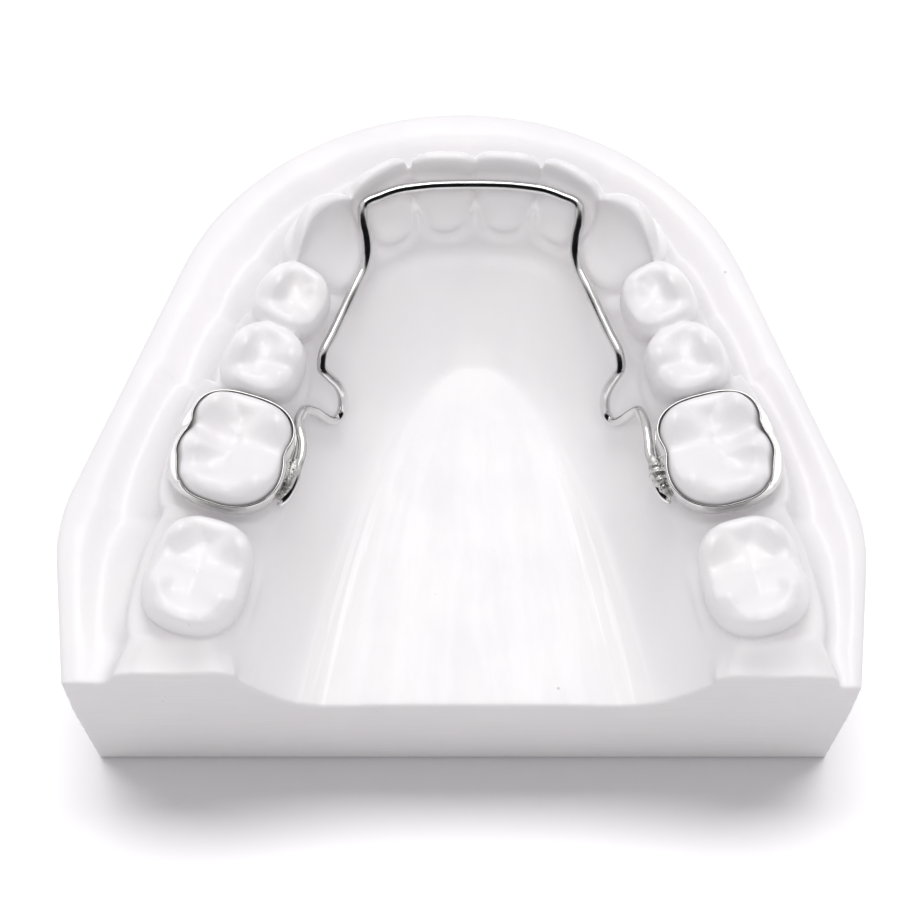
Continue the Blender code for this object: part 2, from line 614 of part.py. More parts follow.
def band_rings(side, angles, inner, outer, spare=0.0):
    """Rings up the outside of a band and down its inside, its edges moved apart by the spare height."""
    tooth = TEETH[BANDED]
    low, high = band_edges(angles)
    rim_u, rim_v = posterior_wall(tooth, angles, 1.0)
    rim = chewing_height(tooth, rim_u, rim_v)
    levels = np.linspace(0, 1, BAND_ROWS)
    rings = []
    for offset, order in ((outer, levels), (inner, levels[::-1])):
        for level in order:
            height = (low - spare) + (high - low + 2 * spare) * level
            ring_u, ring_v = np.empty_like(angles), np.empty_like(angles)
            for k, rise in enumerate(height / rim):
                rise = min(max(rise, 0.0), 1.0)
                u, v = posterior_wall(tooth, angles, rise, offset, BAND_FURROW_SHARE)
                ring_u[k], ring_v[k] = u[k], v[k]
            rings.append(place(side, BANDED, ring_u, ring_v, height))
    return rings


def ring_tube(rings):
    """Closed surface through rings joined one to the next and the last to the first."""
    count = len(rings[0])
    total = len(rings)
    faces = []
    for r in range(total):
        for k in range(count):
            a, b = r * count + k, r * count + (k + 1) % count
            nxt = ((r + 1) % total - r) * count
            faces.append([a, b, b + nxt, a + nxt])
    return np.vstack(rings), faces


def molar_band(side, name, steel):
    angles = np.linspace(0, 2 * math.pi, MOLAR_SIDES, endpoint=False)
    rings = band_rings(side, angles, BAND_CLEARANCE, BAND_CLEARANCE + BAND_WALL)
    vertices, faces = ring_tube(rings)
    return new_object(name, vertices, faces, steel)


# Wire route: (tooth place, distance inward of the arch line, height). The place counts teeth from the
# midline, so 4.5 is the middle of the second premolar.


def run_at(tooth_place):
    marks = [0.0] + [end for _, end in SPANS]
    return float(np.interp(tooth_place, range(len(marks)), marks))


def wire_point(side, tooth_place, inward, z):
    centre, _, outward = arch_frame(side, run_at(tooth_place))
    plan = centre - outward * inward
    return (plan[0] + WIRE_SHIFT, plan[1], z)


def front_inset(tooth_place):
    """How far inside the arch line the wire runs to rest on the incisors' lingual faces."""
    tooth = TEETH[min(int(tooth_place), 1)]
    rise = (WIRE_FRONT_Z - GUM_Z) / tooth["height"]
    return WIRE_RADIUS + WIRE_SEAT_GAP - float(lingual_face(tooth, rise))


# The tail's places round the crown, and its heights above the gum
TAIL_DEGREES = [298, 290, 282, 274, 266, 258, 250]
TAIL_HEIGHTS = [2.1, 2.5, 2.8, 3.0, 3.1, 3.15, 3.15]


def tail_points(side):
    """Wire along the lingual wall of the band."""
    tooth = TEETH[BANDED]
    angles = np.radians(np.arange(360))
    rim_u, rim_v = posterior_wall(tooth, angles, 1.0)
    rim = chewing_height(tooth, rim_u, rim_v)
    offset = BAND_CLEARANCE + BAND_WALL + WIRE_SEAT_GAP + WIRE_RADIUS
    points = []
    for degrees, height in zip(TAIL_DEGREES, TAIL_HEIGHTS):
        u, v = posterior_wall(tooth, angles, height / rim[degrees], offset)
        here = slice(degrees, degrees + 1)
        points.append(tuple(place(side, BANDED, u[here], v[here], np.array([height]))[0]))
    return points


LOOP_ROUTE = [(5.04, 5.2, 23.6), (4.88, 5.25, 22.9), (4.80, 5.6, 21.6), (4.75, 6.2, 20.0),
              (4.69, 6.75, LOOP_LOW_Z + 0.3), (4.60, 7.1, LOOP_LOW_Z - 0.1), (4.50, 7.25, LOOP_LOW_Z + 0.1),
              (4.41, 7.2, 19.5), (4.34, 7.0, 20.5), (4.28, 6.5, 21.5), (4.24, 5.9, 22.4), (4.20, 5.4, 23.1)]
LEFT_LOOP_NUDGE = (-0.05, 0.4)
SIDE_ROUTE = [(4.05, 5.1, 23.5), (3.6, 5.05, 23.6), (3.2, 4.95, 23.7), (2.8, 4.7, 23.9), (2.42, 4.2, 24.0),
              (2.2, 3.5, 24.4), (2.07, 2.6, 25.0), (1.98, 1.6, 25.7)]
FRONT_ROUTE = [1.8, 1.5, 1.2, 0.9, 0.6, 0.3]


def half_wire(side):
    """Wire from the tail to the midline; the left loop stands a little further forward and inward."""
    ahead, inward = LEFT_LOOP_NUDGE if side < 0 else (0.0, 0.0)
    points = tail_points(side)
    for where in LOOP_ROUTE:
        share = min(max((LOOP_TOP_Z - where[2]) / 2, 0), 1)
        points.append(wire_point(side, where[0] + ahead * share, where[1] + inward * share, where[2]))
    points += [wire_point(side, *where) for where in SIDE_ROUTE]
    for tooth_place in FRONT_ROUTE:
        points.append(wire_point(side, tooth_place, front_inset(tooth_place), WIRE_FRONT_Z))
    return points


def smooth_path(points, spacing):
    """Points at even spacing along a smooth curve through the given points."""
    points = np.array(points)
    run = np.concatenate([[0], np.cumsum(np.linalg.norm(np.diff(points, axis=0), axis=1))])
    at = np.linspace(0, run[-1], int(run[-1] / spacing) + 1)
    return np.column_stack([through(list(zip(run, points[:, axis])), at) for axis in range(3)])


def thinned(path, turn, longest):
    """Path with points left out where it runs nearly straight."""
    kept = [path[0]]
    heading = path[1] - path[0]
    for here, after in zip(path[1:-1], path[2:]):
        step = after - here
        cosine = step @ heading / (np.linalg.norm(step) * np.linalg.norm(heading))
        if cosine < math.cos(turn) or np.linalg.norm(here - kept[-1]) > longest:
            kept.append(here)
            heading = step
    return np.array(kept + [path[-1]])


def wire_path():
    points = half_wire(-1) + [wire_point(1, 0.0, front_inset(0.0), WIRE_FRONT_Z)] + half_wire(1)[::-1]
    return thinned(smooth_path(points, WIRE_STEP), math.radians(WIRE_TURN), WIRE_LONGEST_STEP)


def wire_curve(name, path, radius, material):
    """Round wire: a curve with a round bevel and filled ends."""
    curve = bpy.data.curves.new(name, "CURVE")
    curve.dimensions = "3D"
    spline = curve.splines.new("POLY")
    spline.points.add(len(path) - 1)
    for point, where in zip(spline.points, path * MM):
        point.co = (*where, 1)
    curve.bevel_depth = radius * MM
    curve.bevel_resolution = 2
    curve.use_fill_caps = True
    if material:
        curve.materials.append(material)
    obj = bpy.data.objects.new(name, curve)
    bpy.context.scene.collection.objects.link(obj)
    return obj


def cut(obj, tool):
    difference = obj.modifiers.new(tool.name, "BOOLEAN")
    difference.operation = "DIFFERENCE"
    difference.object = tool
    difference.solver = "EXACT"


def solder_joint(side, name, solder):
    """Lens of solder that lies in the groove between wire and band, cut to fit both."""
    tail = np.array(tail_points(side))
    run = np.concatenate([[0], np.cumsum(np.linalg.norm(np.diff(tail, axis=0), axis=1))])
    at = np.linspace(SOLDER_START, SOLDER_START + SOLDER_LENGTH, SOLDER_RINGS)
    spine = np.column_stack([np.interp(at, run, tail[:, axis]) for axis in range(3)])
    angles = np.linspace(0, 2 * math.pi, SOLDER_SIDES, endpoint=False)
    rows = []
    for i, centre in enumerate(spine):
        along = spine[min(i + 1, SOLDER_RINGS - 1)] - spine[max(i - 1, 0)]
        toward_band = np.cross(along, [0, 0, 1]) * side
        toward_band = toward_band / np.linalg.norm(toward_band)
        share = SOLDER_END_SHARE + (1 - 2 * SOLDER_END_SHARE) * i / (SOLDER_RINGS - 1)
        swell = math.sin(math.pi * share) ** SOLDER_BLUNTNESS
        across = SOLDER_TOWARD_BAND + SOLDER_HALF_WIDTH * swell * np.cos(angles)
        upright = np.maximum(SOLDER_RISE * swell * np.sin(angles), SOLDER_BASE)
        rows.append(centre + np.outer(across, toward_band) + np.outer(upright, [0, 0, 1]))
    vertices, faces = closed_rows(rows)
    joint = new_object(name, vertices, faces, solder)

    angles = np.linspace(0, 2 * math.pi, MOLAR_SIDES, endpoint=False)
    outside = BAND_CLEARANCE + BAND_WALL + SOLDER_GAP
    rings = band_rings(side, angles, 0.0, outside, spare=0.4)
    vertices, faces = closed_rows(rings[:BAND_ROWS])
    cut(joint, hide_tool(new_object(f"{name}_band_tool", vertices, faces, None)))

    guide = wire_curve(f"{name}_guide", wire_path(), WIRE_RADIUS + SOLDER_GAP, None)
    bpy.context.view_layer.update()
    channel = bpy.data.meshes.new_from_object(guide.evaluated_get(bpy.context.evaluated_depsgraph_get()))
    bpy.data.objects.remove(guide)
    tool = bpy.data.objects.new(f"{name}_wire_tool", channel)
    bpy.context.scene.collection.objects.link(tool)
    cut(joint, hide_tool(tool))
    return joint


def build():
    for obj in list(bpy.data.objects):
        bpy.data.objects.remove(obj)
    plaster = finish("white plaster", (0.86, 0.84, 0.85), 0.35, 0.0)
    steel = finish("stainless steel", (0.62, 0.61, 0.60), 0.18, 1.0)
    solder = finish("silver solder", (0.66, 0.65, 0.63), 0.3, 1.0)
    study_model(plaster)
    molar_band(-1, "band_left", steel)
    molar_band(1, "band_right", steel)
    wire_curve("lingual_arch", wire_path(), WIRE_RADIUS, steel)
    solder_joint(-1, "solder_joint_left", solder)
    solder_joint(1, "solder_joint_right", solder)


build()
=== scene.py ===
"""Lower plaster study model with a soldered lingual arch, dressed over its CAD frame."""

import math

import bmesh
import bpy
import numpy as np
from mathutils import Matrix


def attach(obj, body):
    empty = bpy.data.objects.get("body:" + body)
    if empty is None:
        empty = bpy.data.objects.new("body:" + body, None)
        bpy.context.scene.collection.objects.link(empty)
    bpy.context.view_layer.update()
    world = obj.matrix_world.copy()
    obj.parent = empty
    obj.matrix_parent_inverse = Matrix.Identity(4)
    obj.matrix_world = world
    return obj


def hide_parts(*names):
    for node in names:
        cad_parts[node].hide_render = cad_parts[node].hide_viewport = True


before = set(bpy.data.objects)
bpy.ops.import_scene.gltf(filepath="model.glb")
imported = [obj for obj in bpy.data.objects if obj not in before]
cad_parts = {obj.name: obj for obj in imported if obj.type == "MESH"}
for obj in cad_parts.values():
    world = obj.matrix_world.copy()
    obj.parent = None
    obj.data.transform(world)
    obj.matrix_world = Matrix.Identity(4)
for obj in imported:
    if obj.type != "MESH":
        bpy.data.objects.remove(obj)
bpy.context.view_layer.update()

# 1. The cast: hard white dental plaster, poured into an impression of the lower teeth and gum in one piece.
# The underside, the sides and the heel were trimmed flat on a wet wheel, and the dry cast was soaped to a
# soft shine. It is shaped here as a base with fourteen crowns, then fused and softened as one surface.
MM = 0.001
BASE_LENGTH, BASE_WIDTH, HEEL_WIDTH = 57.5, 71.0, 68.4
FRONT_RADIUS, CANINE_CORNER_DEGREES, WIDEST_FROM_HEEL, CORNER_ROUNDING = 28.3, 58.4, 15.5, 7.0
WALL_DRAFT, RIM_FLARE, EDGE_ROUND = 0.085, 0.45, 0.3
LAND_FRONT_Z, LAND_LEFT_HEEL_Z, LAND_RIGHT_HEEL_Z, LAND_RISE_POWER, SULCUS_DEPTH = 15.0, 19.6, 18.4, 1.6, 1.3
FLOOR_Z, FLOOR_HEEL_HALF_WIDTH, FLOOR_TIP_FROM_HEEL, FLOOR_POWER = 14.1, 14.3, 32.2, 0.45
FLOOR_SPREAD, FRONT_SLOPE_POWER, SIDE_SLOPE_POWER = 1.6, 1.15, 1.6
ARCH_FRONT_FROM_HEEL, ARCH_DEPTH, ARCH_HALF_WIDTH, ARCH_POWER, ARCH_SHIFT = 44.95, 41.3, 24.8, 3.15, 1.15
GUM_Z, GUM_ROLL, PAPILLA_HEIGHT, MOLAR_PAPILLA_SHARE = 21.0, 0.55, 2.2, 0.62
MOLAR_PAPILLA_START, SULCUS_PLACE, GUM_FALL = 1.2, 0.45, 4.4
BUCCAL_PINCH, LINGUAL_PINCH = 0.22, 0.30
RETROMOLAR_LEFT_Z, RETROMOLAR_RIGHT_Z, RETROMOLAR_HALF_WIDTH = 21.4, 20.5, 4.4
CONTACT_OVERLAP, ROOT_DEPTH = 0.12, 3.5
EDGE_OFFSET, LINGUAL_HOLLOW, FRONT_CONTACT = 1.1, 0.45, 0.14
FOSSA_DEPTH, MARGIN_DEPTH, CUSP_SLOPE, MARGIN_SLOPE, CUSP_ROUNDING = 2.4, 1.3, 1.15, 0.9, 0.6
CREST_MESIAL_SLOPE = 0.55
FURROW_HALF_WIDTH, POSTERIOR_LEAN, GROOVE_DEPTH, GROOVE_HALF_WIDTH = 0.9, -0.09, 0.14, 0.32
BAND_CLEARANCE, BAND_WALL, BAND_NEIGHBOUR_GAP, BEHIND_BAND_GAP = 0.12, 0.2, 0.15, 0.85
HEEL_Y, FRONT_Y = -BASE_LENGTH / 2, BASE_LENGTH / 2
LEFT_TURNS = [3, -6, 4, 6, 3, 3, 5]
RIGHT_TURNS = [-2, -4, 6, 4, 2, 0, 2]


def through(knots, at):
    """Values at the given places of a smooth curve through (place, value) knots."""
    places, values = np.array(knots, float).T
    slopes = np.gradient(values, places)
    at = np.clip(at, places[0], places[-1])
    i = np.clip(np.searchsorted(places, at) - 1, 0, len(places) - 2)
    span = places[i + 1] - places[i]
    q = (at - places[i]) / span
    return ((1 + 2 * q) * (1 - q) ** 2 * values[i] + q * (1 - q) ** 2 * span * slopes[i]
            + q * q * (3 - 2 * q) * values[i + 1] + q * q * (q - 1) * span * slopes[i + 1])


def smooth_max(heights, sharpness=3.8):
    stack = np.array(heights)
    top = stack.max(axis=0)
    return top + np.log(np.exp(sharpness * (stack - top)).sum(axis=0)) / sharpness


ARCH_X = np.linspace(0, ARCH_HALF_WIDTH * (ARCH_FRONT_FROM_HEEL / ARCH_DEPTH) ** (1 / ARCH_POWER), 600)
ARCH_Y = HEEL_Y + ARCH_FRONT_FROM_HEEL - ARCH_DEPTH * (ARCH_X / ARCH_HALF_WIDTH) ** ARCH_POWER
ARCH_RUN = np.concatenate([[0], np.cumsum(np.hypot(np.diff(ARCH_X), np.diff(ARCH_Y)))])
ARCH_LENGTH = ARCH_RUN[-1]


def arch_place(run):
    return np.array([np.interp(run, ARCH_RUN, ARCH_X), np.interp(run, ARCH_RUN, ARCH_Y)])


def arch_frame(side, run):
    """Point of the arch line with its distal and outward directions; side is -1 left, 1 right."""
    dx, dy = arch_place(min(run + 0.5, ARCH_LENGTH)) - arch_place(max(run - 0.5, 0))
    dx, dy = np.array([dx, dy]) / math.hypot(dx, dy)
    x, y = arch_place(run)
    return np.array([side * x + ARCH_SHIFT, y]), np.array([side * dx, dy]), np.array([side * -dy, dx])


def line_gap(u, v, u0, v0, u1, v1):
    """Distance of points from a line between two ends, and how far along it they lie."""
    du, dv = u1 - u0, v1 - v0
    along = np.clip(((u - u0) * du + (v - v0) * dv) / (du ** 2 + dv ** 2), 0, 1)
    return np.hypot(u - u0 - along * du, v - v0 - along * dv), along


def rounded_gap(gap):
    """Distance from a ridge's line, rounded off over its top."""
    return np.sqrt(gap * gap + CUSP_ROUNDING ** 2) - CUSP_ROUNDING


# Cusps are (distal, buccal, drop) in half widths, half depths and millimetres below the crown's height.
# A crest joins two such tips; margins and grooves join two places on the chewing surface.
PREMOLAR_MARGINS = [(-0.70, 0.25, -0.62, -0.35), (0.70, 0.25, 0.66, -0.35)]
MOLAR_MARGINS = [(-0.80, 0.30, -0.80, -0.35)]
FIRST_PREMOLAR_GROOVES = [(-0.50, -0.20, -0.20, -0.16), (0.20, -0.16, 0.52, -0.20),
                          (-0.50, -0.20, -0.62, 0.05), (0.52, -0.20, 0.62, 0.05),
                          (-0.50, -0.20, -0.62, -0.55), (0.52, -0.20, 0.6, -0.5)]
SECOND_PREMOLAR_GROOVES = [(-0.52, -0.04, 0.0, -0.12), (0.0, -0.12, 0.52, -0.04), (0.05, -0.12, 0.12, -0.75),
                           (-0.52, -0.04, -0.64, 0.2), (0.52, -0.04, 0.64, 0.2)]
FIRST_MOLAR_CRESTS = [(0.56, -0.58, 0.2, 0.80, -0.15, 0.8), (0.80, -0.15, 0.8, 0.76, 0.32, 0.8)]
SECOND_MOLAR_CRESTS = [(0.42, -0.56, 0.25, 0.78, -0.32, 0.7), (0.78, -0.32, 0.7, 0.85, 0.0, 0.8),
                       (0.85, 0.0, 0.8, 0.78, 0.32, 0.7), (0.78, 0.32, 0.7, 0.46, 0.54, 0.4)]
FIRST_MOLAR_GROOVES = [(-0.60, 0.02, -0.22, -0.04), (-0.22, -0.04, 0.20, 0.04), (0.20, 0.04, 0.50, -0.02),
                       (-0.22, -0.04, -0.26, 0.95), (0.22, 0.04, 0.42, 0.80), (-0.06, 0.0, -0.08, -0.95),
                       (-0.60, 0.02, -0.74, 0.26), (-0.60, 0.02, -0.74, -0.24), (-0.40, 0.0, -0.46, 0.30)]
SECOND_MOLAR_GROOVES = [(-0.58, 0.02, 0.0, 0.0), (0.0, 0.0, 0.48, 0.0), (-0.04, 0.0, -0.06, 0.95),
                        (-0.04, 0.0, -0.04, -0.95), (-0.58, 0.02, -0.72, 0.26), (-0.58, 0.02, -0.72, -0.26),
                        (-0.52, 0.16, -0.22, 0.44), (-0.22, 0.44, -0.30, 0.66)]


def incisor(width, depth, height, slope, corner, edge, bow):
    """Slope and corner say how far the mesial and distal halves of the edge fall; bow curves it outward."""
    return dict(form="anterior", width=width, depth=depth, height=height, slope=slope, corner=corner,
                edge=edge, bow=bow)


def grinder(width, depth, height, cusps, crests, margins, furrows, grooves, hollows):
    """Furrows are (distal, face, depth) of dents down the outer face, 1, or the tongue's, -1; hollows are
    (distal, buccal, depth, radius) of round dents in the chewing surface."""
    return dict(form="posterior", width=width, depth=depth, height=height, cusps=cusps, crests=crests,
                margins=margins, furrows=furrows, grooves=grooves, hollows=hollows)


TEETH = [
    incisor(5.6, 6.0, 7.3, (0.0, 0.1), (0.7, 0.9), 0.9, 0.2),
    incisor(5.9, 6.2, 7.0, (0.0, 0.6), (0.9, 1.4), 0.9, 0.2),
    incisor(7.3, 7.2, 8.2, (1.2, 1.8), (0.9, 1.3), 1.3, 1.2),
    grinder(6.2, 6.7, 7.5, [(-0.02, 0.34, 0.0), (-0.05, -0.58, 2.2)], [], PREMOLAR_MARGINS, [],
            FIRST_PREMOLAR_GROOVES, [(-0.30, 0.10, 0.6, 0.9), (0.30, 0.0, 0.3, 0.7)]),
    grinder(6.6, 7.4, 7.0, [(-0.04, 0.44, 0.0), (-0.24, -0.56, 0.6), (0.42, -0.52, 0.9)], [],
            PREMOLAR_MARGINS, [(0.1, -1, 0.2)], SECOND_PREMOLAR_GROOVES,
            [(-0.34, 0.18, 0.6, 1.0), (0.25, 0.1, 0.25, 0.7)]),
    grinder(10.3, 10.2, 6.8,
            [(-0.60, 0.50, 0.25), (0.22, 0.54, 0.3), (0.76, 0.32, 0.8), (-0.56, -0.56, 0.0),
             (0.56, -0.58, 0.2)],
            FIRST_MOLAR_CRESTS, MOLAR_MARGINS, [(-0.25, 1, 0.4), (0.42, 1, 0.3), (-0.08, -1, 0.08)],
            FIRST_MOLAR_GROOVES, [(-0.30, 0.26, 0.7, 1.1), (-0.36, -0.28, 0.6, 1.0), (0.44, 0.24, 0.7, 0.9)]),
    grinder(10.6, 9.2, 6.4,
            [(-0.54, 0.50, 0.2), (0.46, 0.54, 0.4), (-0.54, -0.54, 0.0), (0.42, -0.56, 0.25)],
            SECOND_MOLAR_CRESTS, MOLAR_MARGINS, [(-0.05, 1, 0.4), (-0.04, -1, 0.3)], SECOND_MOLAR_GROOVES,
            [(-0.42, 0.30, 1.0, 1.2), (-0.40, -0.34, 0.85, 1.1), (0.42, 0.36, 0.7, 0.8)]),
]
BANDED = 5
SPANS, reached = [], 0.0
for number, tooth in enumerate(TEETH):
    room = tooth["width"] - CONTACT_OVERLAP
    if number == BANDED:
        room = tooth["width"] + 2 * (BAND_CLEARANCE + BAND_WALL + BAND_NEIGHBOUR_GAP)
    if number == BANDED + 1:
        reached += BEHIND_BAND_GAP
    SPANS.append((reached, reached + room))
    reached += room


def chewing_height(tooth, u, v):
    """Height of the chewing surface above the gum: cusps and margins rise from the fossa, grooves cut in."""
    half_width, half_depth, height = tooth["width"] / 2, tooth["depth"] / 2, tooth["height"]
    fields = [np.full_like(u, height - FOSSA_DEPTH - 0.25)]
    for distal, buccal, drop in tooth["cusps"]:
        inner_z = height - max(0.8 * FOSSA_DEPTH, drop + 0.4)
        gap, along = line_gap(u, v, distal * half_width, buccal * half_depth,
                              distal * half_width * 0.62, buccal * half_depth * 0.22)
        fields.append(height - drop + along * (inner_z - height + drop) - CUSP_SLOPE * rounded_gap(gap))
    for u0, v0, drop0, u1, v1, drop1 in tooth["crests"]:
        u0, u1 = u0 * half_width, u1 * half_width
        gap, along = line_gap(u, v, u0, v0 * half_depth, u1, v1 * half_depth)
        steep = np.where(u < u0 + along * (u1 - u0), CREST_MESIAL_SLOPE, CUSP_SLOPE)
        fields.append(height - drop0 + along * (drop0 - drop1) - steep * rounded_gap(gap))
    for u0, v0, u1, v1 in tooth["margins"]:
        gap, _ = line_gap(u, v, u0 * half_width, v0 * half_depth, u1 * half_width, v1 * half_depth)
        fields.append(height - MARGIN_DEPTH - MARGIN_SLOPE * rounded_gap(gap))
    surface = smooth_max(fields)
    for u0, v0, u1, v1 in tooth["grooves"]:
        gap, _ = line_gap(u, v, u0 * half_width, v0 * half_depth, u1 * half_width, v1 * half_depth)
        surface = surface - GROOVE_DEPTH * np.exp(-((gap / GROOVE_HALF_WIDTH) ** 2))
    for u0, v0, deep, radius in tooth["hollows"]:
        gap = np.hypot(u - u0 * half_width, v - v0 * half_depth)
        surface = surface - deep * np.exp(-((gap / radius) ** 2))
    return surface


def rounded_outline(angles, half_width, buccal, lingual, power):
    c, s = np.cos(angles), np.sin(angles)
    u = half_width * np.sign(c) * np.abs(c) ** (2 / power)
    v = np.where(s > 0, buccal, lingual) * np.sign(s) * np.abs(s) ** (2 / power)
    return u, v


def posterior_wall(tooth, angles, rise, offset=0.0, furrow_share=1.0):
    """Side wall points at a share of the way up from gum to rim, moved outward by offset."""
    width = tooth["width"] / 2 * through([(0.0, 0.82), (0.3, 0.91), (0.7, 1.0), (1.0, 0.93)], rise)
    buccal = tooth["depth"] / 2 * through([(0.0, 0.93), (0.3, 1.0), (0.65, 0.95), (1.0, 0.80)], rise)
    lingual = tooth["depth"] / 2 * through([(0.0, 0.90), (0.45, 1.0), (0.75, 0.97), (1.0, 0.85)], rise)
    u, v = rounded_outline(angles, width, buccal, lingual, 2.25 + 0.5 * rise)
    for where, face, deep in tooth["furrows"]:
        near = np.exp(-(((u - where * tooth["width"] / 2) / FURROW_HALF_WIDTH) ** 2)) * (np.sign(v) == face)
        v = v - face * deep * furrow_share * rise * near
    du, dv = np.roll(u, -1) - np.roll(u, 1), np.roll(v, -1) - np.roll(v, 1)
    long = np.hypot(du, dv)
    return u + offset * dv / long, v - offset * du / long


def posterior_rings(tooth, angles):
    rim_u, rim_v = posterior_wall(tooth, angles, 1.0)
    rim = chewing_height(tooth, rim_u, rim_v)
    u, v = posterior_wall(tooth, angles, 0.0)
    rings = [(u * 0.9, v * 0.9, np.full_like(u, -ROOT_DEPTH))]
    for rise in np.linspace(0, 1, 28):
        rings.append((*posterior_wall(tooth, angles, rise), rim * rise))
    for share in np.linspace(1, 0, 30, endpoint=False)[1:]:
        rings.append((rim_u * share, rim_v * share, chewing_height(tooth, rim_u * share, rim_v * share)))
    middle = np.zeros(1)
    return rings, (middle, middle, chewing_height(tooth, middle, middle))


def lingual_face(tooth, rise):
    half = tooth["depth"] / 2
    return through([(0.0, -0.96 * half), (0.14, -half), (0.36, -0.55 * half), (0.65, -0.08 * half),
                    (1.0, EDGE_OFFSET - tooth["edge"] / 2)], rise)


def anterior_rings(tooth, angles):
    half, half_width, height = tooth["depth"] / 2, tooth["width"] / 2 + FRONT_CONTACT, tooth["height"]
    outer_edge = EDGE_OFFSET + tooth["edge"] / 2
    labial = [(0.0, 0.93 * half), (0.2, half), (0.5, 0.9 * half), (0.8, outer_edge + 0.2), (1.0, outer_edge)]
    rings = []
    for rise in [-ROOT_DEPTH / height, *np.linspace(0, 1, 36)]:
        up = max(rise, 0.0)
        front, back = through(labial, up), lingual_face(tooth, up)
        wide = half_width * through([(0.0, 0.84), (0.35, 0.94), (0.8, 1.0), (1.0, 0.95)], up)
        u, v = rounded_outline(angles, wide, (front - back) / 2, (front - back) / 2, 2.0 + 1.3 * up)
        hollow = LINGUAL_HOLLOW * math.sin(math.pi * min(max((up - 0.2) / 0.8, 0), 1))
        v = v + (front + back) / 2 + (v < 0) * hollow * (1 - (u / wide) ** 2)
        v = v + tooth["bow"] * (0.35 - (u / wide) ** 2) * up ** 2
        out = np.abs(u / half_width)
        fall = (np.where(u > 0, tooth["slope"][1], tooth["slope"][0]) * out ** 1.5
                + np.where(u > 0, tooth["corner"][1], tooth["corner"][0]) * out ** 6)
        rings.append((u, v, rise * height - fall * up ** 1.5))
    u, v, w = rings[-1]
    bulge = 0.3 * tooth["edge"]
    middle = EDGE_OFFSET + tooth["bow"] * (0.35 - (u / wide) ** 2)
    for share in (0.85, 0.68, 0.5, 0.3, 0.15):
        rings.append((u * (0.85 + 0.15 * share), middle + (v - middle) * share, w + bulge * (1 - share ** 2)))
    return rings, (np.zeros(1), np.full(1, EDGE_OFFSET + tooth["bow"] * 0.35), np.full(1, height + bulge))


def place(side, number, u, v, w):
    """World place, in mm, of crown points given as distal, buccal and height above the gum."""
    start, end = SPANS[number]
    centre, distal, outward = arch_frame(side, (start + end) / 2)
    turn = math.radians((LEFT_TURNS if side < 0 else RIGHT_TURNS)[number])
    if TEETH[number]["form"] == "posterior":
        v = v + POSTERIOR_LEAN * np.maximum(w, 0)
    turned_u = u * math.cos(turn) - v * math.sin(turn)
    turned_v = u * math.sin(turn) + v * math.cos(turn)
    plan = centre[None] + np.outer(turned_u, distal) + np.outer(turned_v, outward)
    return np.column_stack([plan, GUM_Z + w])


def closed_rows(rows, tip=None):
    """Closed surface over equal rings, its ends capped flat, or the last by a point."""
    count = len(rows[0])
    faces = [list(range(count))]
    for r in range(len(rows) - 1):
        for k in range(count):
            a, b = r * count + k, r * count + (k + 1) % count
            faces.append([a, b, b + count, a + count])
    last = (len(rows) - 1) * count
    if tip is None:
        return np.vstack(rows), faces + [[last + k for k in range(count)]]
    faces += [[last + k, last + (k + 1) % count, last + count] for k in range(count)]
    return np.vstack(rows + [tip]), faces


sweep = np.linspace(0, math.radians(CANINE_CORNER_DEGREES), 40)
rim_x = [*FRONT_RADIUS * np.sin(sweep), BASE_WIDTH / 2, HEEL_WIDTH / 2]
rim_y = [*FRONT_Y - FRONT_RADIUS + FRONT_RADIUS * np.cos(sweep), HEEL_Y + WIDEST_FROM_HEEL, HEEL_Y]
rim_run = np.concatenate([[0], np.cumsum(np.hypot(np.diff(rim_x), np.diff(rim_y)))])


def base_rim(share):
    """Plan point of the base's rim, from the front (0) to the heel corner (1), its corners rounded."""
    at = share * rim_run[-1]
    narrowing = min(max((rim_run[-1] - at) / CORNER_ROUNDING, 0), 1)
    at = at + np.linspace(-0.5, 0.5, 9) * CORNER_ROUNDING * narrowing
    x = np.interp(np.abs(at), rim_run, rim_x) * np.sign(at + 1e-9)
    return x.mean(), np.interp(np.abs(at), rim_run, rim_y).mean()


gum_middles = [(start + end) / 2 for start, end in SPANS] + [SPANS[-1][1] + 2.0]
gum_halves = [tooth["depth"] / 2 for tooth in TEETH] + [RETROMOLAR_HALF_WIDTH]


def gum_levels(run):
    """Buccal and lingual half widths of the gum at a distance along the arch, and its papilla's height."""
    number = next((n for n, (_, end) in enumerate(SPANS) if run <= end), len(SPANS) - 1)
    start, end = SPANS[number]
    half = TEETH[number]["depth"] / 2
    if run > SPANS[-1][1]:
        fade = min((run - SPANS[-1][1]) / 3.0, 1.0)
        fade = fade * fade * (3 - 2 * fade)
        widths = [half * (1 - pinch) * (1 - fade) + RETROMOLAR_HALF_WIDTH * fade + GUM_ROLL
                  for pinch in (BUCCAL_PINCH, LINGUAL_PINCH)]
        return (*widths, PAPILLA_HEIGHT * MOLAR_PAPILLA_SHARE * (1 - 0.7 * fade))
    near_contact = min(abs(2 * (run - start) / (end - start) - 1), 1.0) ** 3
    papilla = PAPILLA_HEIGHT * (MOLAR_PAPILLA_SHARE if run > SPANS[BANDED][0] - MOLAR_PAPILLA_START else 1.0)
    buccal = half * (1 - BUCCAL_PINCH * near_contact) + GUM_ROLL
    lingual = half * (1 - LINGUAL_PINCH * near_contact) + GUM_ROLL
    return buccal, lingual, papilla * near_contact


STATIONS, WALL_POINTS, GUM_POINTS, CROWN_POINTS = 380, 24, 86, 120


def run_along(points):
    """Distance from the first point to each, along the line through them."""
    return np.concatenate([[0], np.cumsum(np.linalg.norm(np.diff(points, axis=0), axis=1))])


